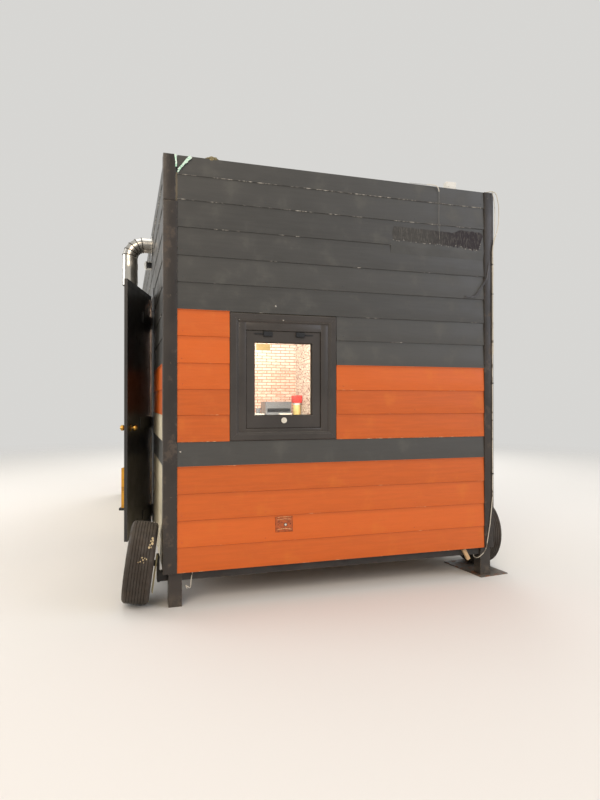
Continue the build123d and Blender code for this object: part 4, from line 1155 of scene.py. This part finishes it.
def rim(name):
    # Rolled rim, dished disc with slots, hub and five nuts
    values = {
        "rolled": [(0.0680, 0.1900), (0.0745, 0.1900), (0.0760, 0.1880), (0.0745, 0.1850), (0.0715, 0.1740),
                   (0.0560, 0.1715), (0.0400, 0.1640), (0.0100, 0.1600), (-0.0200, 0.1640), (-0.0560, 0.1715),
                   (-0.0715, 0.1740), (-0.0745, 0.1850), (-0.0760, 0.1880), (-0.0745, 0.1900),
                   (-0.0680, 0.1900), (-0.0680, 0.1780), (0.0680, 0.1780)],
        "disc": [(0.0180, 0.0430), (0.0190, 0.0560), (0.0250, 0.0680), (0.0330, 0.0820), (0.0360, 0.0930),
                 (0.0370, 0.1020), (0.0370, 0.1140), (0.0350, 0.1260), (0.0320, 0.1380), (0.0280, 0.1480),
                 (0.0180, 0.1600)],
        "steps": 72, "slots": 8, "slotWidth": 4, "slotRows": (5, 8), "sheet": 0.004,
        "hub": [(-0.020, 0), (-0.020, 0.030), (0.0195, 0.0440), (0.0400, 0.0330), (0.0560, 0.0300),
                (0.0600, 0.0240), (0.0610, 0)],
        "nut": [(-0.004, 0), (-0.004, 0.0125), (0.0120, 0.0110), (0.0135, 0.0085), (0.0135, 0.0060),
                (0.0200, 0.0058), (0.0200, 0)],
        "nuts": 5, "nutCircle": 0.0700, "nutAlong": 0.026, "nutTurn": 0.3,
    }
    centre, axis, side, other = wheelAxes(name)
    disc, steps, width = values["disc"], values["steps"], values["slotWidth"]
    first, last = values["slotRows"]
    per = steps // values["slots"]
    rowMiddle, rowHalf = (first + last) / 2, (last - first) / 2
    slotMiddle = (disc[first][1] + disc[last][1]) / 2
    slotHalf = (disc[last][1] - disc[first][1]) / 2
    grid = {}

    def at(along, radius, angle):
        return centre + axis * along + (side * math.cos(angle) + other * math.sin(angle)) * radius

    def vertex(i, k, back):
        # The rows round each slot are drawn in to give it round ends
        k %= steps
        if (i, k, back) not in grid:
            along, radius = disc[i]
            angle, within = 2 * math.pi * k / steps, k % per
            if first <= i <= last and within <= width:
                outwards, sideways = (i - rowMiddle) / rowHalf, (within - width / 2) / (width / 2)
                if max(abs(outwards), abs(sideways)) > 0.99:
                    length = math.hypot(outwards, sideways)
                    radius = slotMiddle + outwards / length * slotHalf
                    middle = k - within + width / 2
                    angle = 2 * math.pi * (middle + sideways / length * width / 2) / steps
            grid[i, k, back] = bm.verts.new(at(along - (values["sheet"] if back else 0), radius, angle))
        return grid[i, k, back]

    def isOpen(i, k):
        return not 0 <= i < len(disc) - 1 or first <= i < last and (k % steps) % per < width

    bm = bmesh.new()
    turned(bm, centre, axis, values["rolled"], steps, closed=True)
    for i, k in [(i, k) for i in range(len(disc) - 1) for k in range(steps) if not isOpen(i, k)]:
        a, b, c, d = (i, k), (i + 1, k), (i + 1, k + 1), (i, k + 1)
        faces = [[(*a, 0), (*b, 0), (*c, 0), (*d, 0)], [(*a, 1), (*d, 1), (*c, 1), (*b, 1)]]
        borders = ((a, d, (i - 1, k)), (b, c, (i + 1, k)), (a, b, (i, k - 1)), (d, c, (i, k + 1)))
        faces += [[(*p, 0), (*q, 0), (*q, 1), (*p, 1)] for p, q, beyond in borders if isOpen(*beyond)]
        for corners in faces:
            bm.faces.new([vertex(*corner) for corner in corners])
    turned(bm, centre, axis, values["hub"], 36)
    for k in range(values["nuts"]):
        angle = 2 * math.pi * k / values["nuts"] + values["nutTurn"]
        turned(bm, at(values["nutAlong"], values["nutCircle"], angle), axis, values["nut"], 6)
    finishPiece(bm, "Rim_" + name, [rimPaint], body="wheel_" + name,
                stands=("rim_" + name,), angle=30)


def mudOnTyre():
    # Dried splashes on the tread of the near left wheel, towards the viewer: along, angle and size
    values = {
        "spots": ((-0.060, 0.86, 0.0075), (-0.064, 0.80, 0.0060), (-0.052, 0.78, 0.0050),
                  (-0.062, 0.72, 0.0080), (-0.050, 0.68, 0.0045), (-0.046, 0.61, 0.0065),
                  (-0.058, 0.62, 0.0040), (-0.012, 0.36, 0.0045), (-0.020, 0.31, 0.0050),
                  (-0.030, 0.35, 0.0035), (-0.004, 0.27, 0.0040), (-0.040, 0.33, 0.0040),
                  (0.008, 0.25, 0.0030), (-0.026, 0.25, 0.0030)),
        "radius": 0.2685, "layers": ((-0.0016, 1.0), (0.0004, 1.0), (0.0022, 0.55)), "points": 14,
        "ragged": 0.35, "drawn": 1.3,
    }
    centre, axis, side, other = wheelAxes("front_left")
    turns = [2 * math.pi * k / values["points"] for k in range(values["points"])]
    bm = bmesh.new()
    for along, lift, size in values["spots"]:
        angle = lift if side.y < 0 else math.pi - lift
        out = side * math.cos(angle) + other * math.sin(angle)
        middle = centre + axis * along + out * values["radius"]
        tangent = axis.cross(out).normalized() * values["drawn"]
        outline = []
        for a in turns:
            rough = noise.noise(Vector((math.cos(a) * 2, math.sin(a) * 2, along * 90)))
            reach = size * (1 + values["ragged"] * rough)
            outline.append((axis * math.cos(a) + tangent * math.sin(a)) * reach)
        loft(bm, [[middle + point * shrink + out * height for point in outline]
                  for height, shrink in values["layers"]])
    finishPiece(bm, "MudSplashes", [mudSplash], body="wheel_front_left", angle=40)


for name in ("front_left", "front_right", "rear_left", "rear_right"):
    tyre(name)
    rim(name)
mudOnTyre()
print("stage: wheels made")


# Room seen through the glass
def brickFinish():
    material, tree, shader = begin("PrintedBrickPanel")
    at = put(tree, "TexCoord").outputs["Object"]
    shade = put(tree, "Attribute", attribute_name="tone").outputs["Fac"]
    base = blendColours(tree, shade, linear("#d99f86"), linear("#ecc9b4"))
    worn = spread(tree, clouds(tree, at, 30, 4.0), 0.4, 0.7, 0.0, 0.6)
    base = blendColours(tree, worn, base, linear("#f1dfd2"))
    height = put(tree, "SeparateXYZ", {0: at}).outputs[2]
    paintedLampLight = spread(tree, height, 1.75, 2.15, 0.0, 0.55)  # painted light from the lamp: paler towards the top
    base = blendColours(tree, paintedLampLight, base, linear("#efe4d8"))
    feed(tree, shader, base=base, rough=0.55, normal=relief(tree, clouds(tree, at, 9), 0.5))
    return material


def pebbleFinish():
    # Pale rounded stones set in a red-brown joint
    material, tree, shader = begin("PebbledWallPanel")
    at = put(tree, "TexCoord").outputs["Object"]
    inputs = {"Vector": stretched(tree, at, (1.0, 1.0, 1.25)), "Scale": 17.0, "Randomness": 0.9}
    cells = put(tree, "TexVoronoi", inputs, feature="DISTANCE_TO_EDGE").outputs["Distance"]
    joint = spread(tree, cells, 0.045, 0.110, 1.0, 0.0)
    patches = spread(tree, clouds(tree, at, 60), 0.4, 0.65)
    stone = blendColours(tree, patches, linear("#d6cfc2"), linear("#efe9de"))
    base = blendColours(tree, joint, stone, linear("#7c4a3c"))
    feed(tree, shader, base=base, rough=0.5, normal=relief(tree, spread(tree, cells, 0.0, 0.18), 2.0))
    return material


def lampGlow():
    material, tree, shader = begin("OpalLampDiffuser")
    feed(tree, shader, base=linear("#f4f2ec"), rough=0.4, glow=linear("#fff1dc"), glowPower=12.0)
    return material


def boxPiece(name, material, parts, bevel=0.0, segments=2):
    bm = bmesh.new()
    for low, high in parts:
        box(bm, low, high)
    finishPiece(bm, name, [material], bevel=bevel, segments=segments)


def room():
    values = {"course": 0.046, "brick": 0.150, "joint": 0.010, "sheet": 0.004, "proud": 0.003,
              "margin": 0.002, "rightMargin": 0.009, "under": 0.008, "least": 0.015, "panel": 0.006}
    counterLow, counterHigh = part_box("counter_top")
    counterTop, counterFront, margin = counterHigh.z, counterLow.y, values["margin"]
    x0, x1 = -roomX + margin, roomX - values["rightMargin"]
    z0, z1, face = counterTop + margin, ceiling - values["under"], roomY - values["sheet"]
    bm = bmesh.new()
    tone = bm.faces.layers.float.new("tone")
    box(bm, (x0, face, z0), (x1, roomY - 0.0004, z1))
    for part in bm.faces:
        part.material_index = 1
    row, z = 0, z0 + values["joint"]
    while z + values["course"] < z1:
        x = x0 + margin - (values["brick"] / 2 if row % 2 else 0)
        while x < x1 - values["joint"]:
            left = max(x, x0 + margin)
            right = min(x + values["brick"] - values["joint"], x1 - margin)
            if right - left > values["least"]:
                brick = box(bm, (left, face - values["proud"], z),
                            (right, face - 0.0002, z + values["course"] - values["joint"]))
                shade = rng.random()
                for part in {part for vert in brick for part in vert.link_faces}:
                    part[tone] = shade
            x += values["brick"]
        z += values["course"]
        row += 1
    finishPiece(bm, "FarWallBrickPanel", [brickFinish(), brickJoint])

    x0, x1, y0, top = roomX - values["panel"], roomX - 0.0004, -roomY + margin, ceiling - values["under"]
    besides = ((x0, y0, floorTop + margin), (x1, counterFront - 0.003, top))
    above = ((x0, counterFront - 0.0025, counterTop + margin), (x1, roomY - values["under"], top))
    boxPiece("SideWallPebblePanel", pebbleFinish(), (besides, above))
    low = (-roomX + margin, y0, ceiling - values["panel"])
    boxPiece("CeilingPanel", whitePanel, ((low, (roomX - margin, -y0, ceiling - 0.0005)),))


def clearJar(top, front):
    # A jar with yellow contents, and a carton on its lid
    values = {"x": 1.055, "fromFront": 0.20, "radius": 0.060, "tall": 0.190, "band": (0.050, 0.110),
              "neck": 0.022, "carton": (0.14, 0.12, 0.115), "clear": 0.0004}
    r, tall, clear = values["radius"], values["tall"], values["clear"]
    x, y, neck = values["x"], front + values["fromFront"], tall - values["neck"]
    profile = [(0, 0), (0, r - 0.004), (0.006, r), (neck - 0.008, r), (neck, r - 0.004), (neck, r - 0.001),
               (tall - 0.003, r - 0.001), (tall, r - 0.004), (tall, 0)]
    bm = bmesh.new()
    turned(bm, (x, y, top + clear), (0, 0, 1), profile)
    piece = finishPiece(bm, "ClearJar", [jarPlastic, jarContents], angle=35)
    for face in piece.data.polygons:
        face.material_index = int(values["band"][0] < face.center.z - top < values["band"][1])
    wide, deep, high = values["carton"]
    base = top + tall + 2 * clear
    carton = ((x - wide / 2, y - deep / 2, base), (x + wide / 2, y + deep / 2, base + high))
    boxPiece("RedCarton", redCard, (carton,), bevel=0.004)


def trayAndCup(top, front, left):
    values = {"wide": 0.27, "near": 0.04, "far": 0.26, "base": 0.012, "high": 0.032, "rim": 0.008,
              "clear": 0.0004, "cupAt": (0.20, 0.15),
              "cup": [(0, 0), (0, 0.030), (0.10, 0.040), (0.10, 0.037), (0.006, 0.028), (0.006, 0)]}
    right, near, far = left + values["wide"], front + values["near"], front + values["far"]
    base, high, rimWide = top + values["base"], top + values["high"], values["rim"]
    inLeft, inRight = left + rimWide, right - rimWide
    parts = (((left, near, top + values["clear"]), (right, far, base)),
             ((left, near, base), (inLeft, far, high)), ((inRight, near, base), (right, far, high)),
             ((inLeft, near, base), (inRight, near + rimWide, high)),
             ((inLeft, far - rimWide, base), (inRight, far, high)))
    boxPiece("WhiteTray", whitePanel, parts, bevel=0.002)
    bm = bmesh.new()
    across, back = values["cupAt"]
    turned(bm, (left + across, front + back, base + values["clear"]), (0, 0, 1), values["cup"], 24)
    finishPiece(bm, "StandingCup", [machinePaint], angle=35)


def counterGoods():
    # What stands on the counter behind the glass, and a card on the brick panel
    values = {"trayFromMachine": 0.30, "card": ((0.486, 2.170), (0.712, 2.265)), "cardAt": (0.0110, 0.0085),
              "frontInset": (0.03, 0.055, 0.10), "front": 0.0052, "drip": (0.205, 0.075, 0.015, 0.036),
              "gap": 0.0003}
    low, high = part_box("counter_machine")
    top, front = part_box("counter_top")[1].z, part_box("counter_top")[0].y
    near = low.y - values["gap"]
    clearJar(top, front)
    trayAndCup(top, front, low.x - values["trayFromMachine"])
    (x0, z0), (x1, z1) = values["card"]
    faceOff, backOff = values["cardAt"]
    card = ((x0, roomY - faceOff, z0), (x1, roomY - backOff, z1))
    boxPiece("WallCard", cardPaper, (card,), bevel=0.0004, segments=1)
    side, foot, head = values["frontInset"]
    panel = ((low.x + side, low.y - values["front"], low.z + foot), (high.x - side, near, high.z - head))
    boxPiece("MachineFront", blackPlastic, (panel,), bevel=0.003)
    far, reach, right, tall = values["drip"]
    tray = ((high.x - far, low.y - reach, low.z + 0.0004), (high.x - right, near, low.z + tall))
    boxPiece("DripTray", whitePanel, (tray,), bevel=0.004)


room()
counterGoods()
carried("ceiling_lamp", lampGlow())
carried("counter_top", counterBoard, bevel=0.003)
carried("counter_panels", whitePanel, bevel=0.001)
carried("counter_machine", machinePaint, bevel=0.003)
print("stage: room made")


# Floor, lights and camera
def stageSet():
    values = {
        "floor": 40.0, "fade": (5.5, 15.0), "backdrop": "#e6e5e2", "strength": 0.86,
        "lens": 577 / 800 * 36, "eye": (-1.495, -6.393, 1.354), "tilt": 90.2, "yaw": -17.0,
        "lights": {
            "Key": ((-7.0, -13.5, 9.5), (0.2, -2.5, 1.3), 8.0, 980.0, "#ffe9d0"),
            "Fill": ((11.0, -10.0, 6.5), (0.5, -2.0, 1.2), 9.0, 640.0, "#e6edff"),
            "Top": ((0.0, 0.5, 8.5), (0.0, 0.0, 0.0), 7.0, 250.0, "#ffffff"),
            "Left": ((-8.5, 1.5, 4.0), (-1.2, -0.5, 1.4), 5.0, 260.0, "#ffffff"),
            "Back": ((4.5, 9.5, 5.0), (0.0, 2.5, 1.3), 6.0, 360.0, "#ffffff"),
            "Room": ((0.1, 0.5, 2.42), (0.1, 2.4, 1.5), 0.8, 88.0, "#fff6ec"),
        },
    }
    bm = bmesh.new()
    bmesh.ops.create_grid(bm, x_segments=1, y_segments=1, size=values["floor"])
    material, tree, shader = begin("StudioFloor")
    at = put(tree, "TexCoord").outputs["Object"]
    out = put(tree, "VectorMath", {0: at}, operation="LENGTH").outputs["Value"]
    fade = spread(tree, out, *values["fade"], 1.0, 0.0)  # no horizon line
    feed(tree, shader, base=linear("#e2dfda"), rough=0.95, alpha=fade)
    floor = finishPiece(bm, "StudioFloor", [material], body=None)

    scene = bpy.context.scene
    scene.world = bpy.data.worlds.new("Studio")
    scene.world.use_nodes = True
    tree = scene.world.node_tree
    tree.nodes.clear()
    inputs = {"Color": linear(values["backdrop"]), "Strength": values["strength"]}
    put(tree, "OutputWorld", {"Surface": put(tree, "Background", inputs).outputs[0]})
    for name, (place, target, wide, power, colour) in values["lights"].items():
        light = bpy.data.lights.new(name, "AREA")
        light.size = wide
        light.energy = power
        light.color = linear(colour)[:3]
        holder = bpy.data.objects.new(name, light)
        scene.collection.objects.link(holder)
        holder.location = place
        holder.rotation_euler = (Vector(target) - Vector(place)).to_track_quat("-Z", "Y").to_euler()
        holder.visible_camera = False
    camera = bpy.data.cameras.new("Camera")
    camera.lens = values["lens"]
    camera.clip_end = 200
    holder = bpy.data.objects.new("Camera", camera)
    scene.collection.objects.link(holder)
    holder.location = values["eye"]
    holder.rotation_euler = (math.radians(values["tilt"]), 0, math.radians(values["yaw"]))
    scene.camera = holder
    scene.view_settings.view_transform = "Standard"


stageSet()
print("stage: studio set")
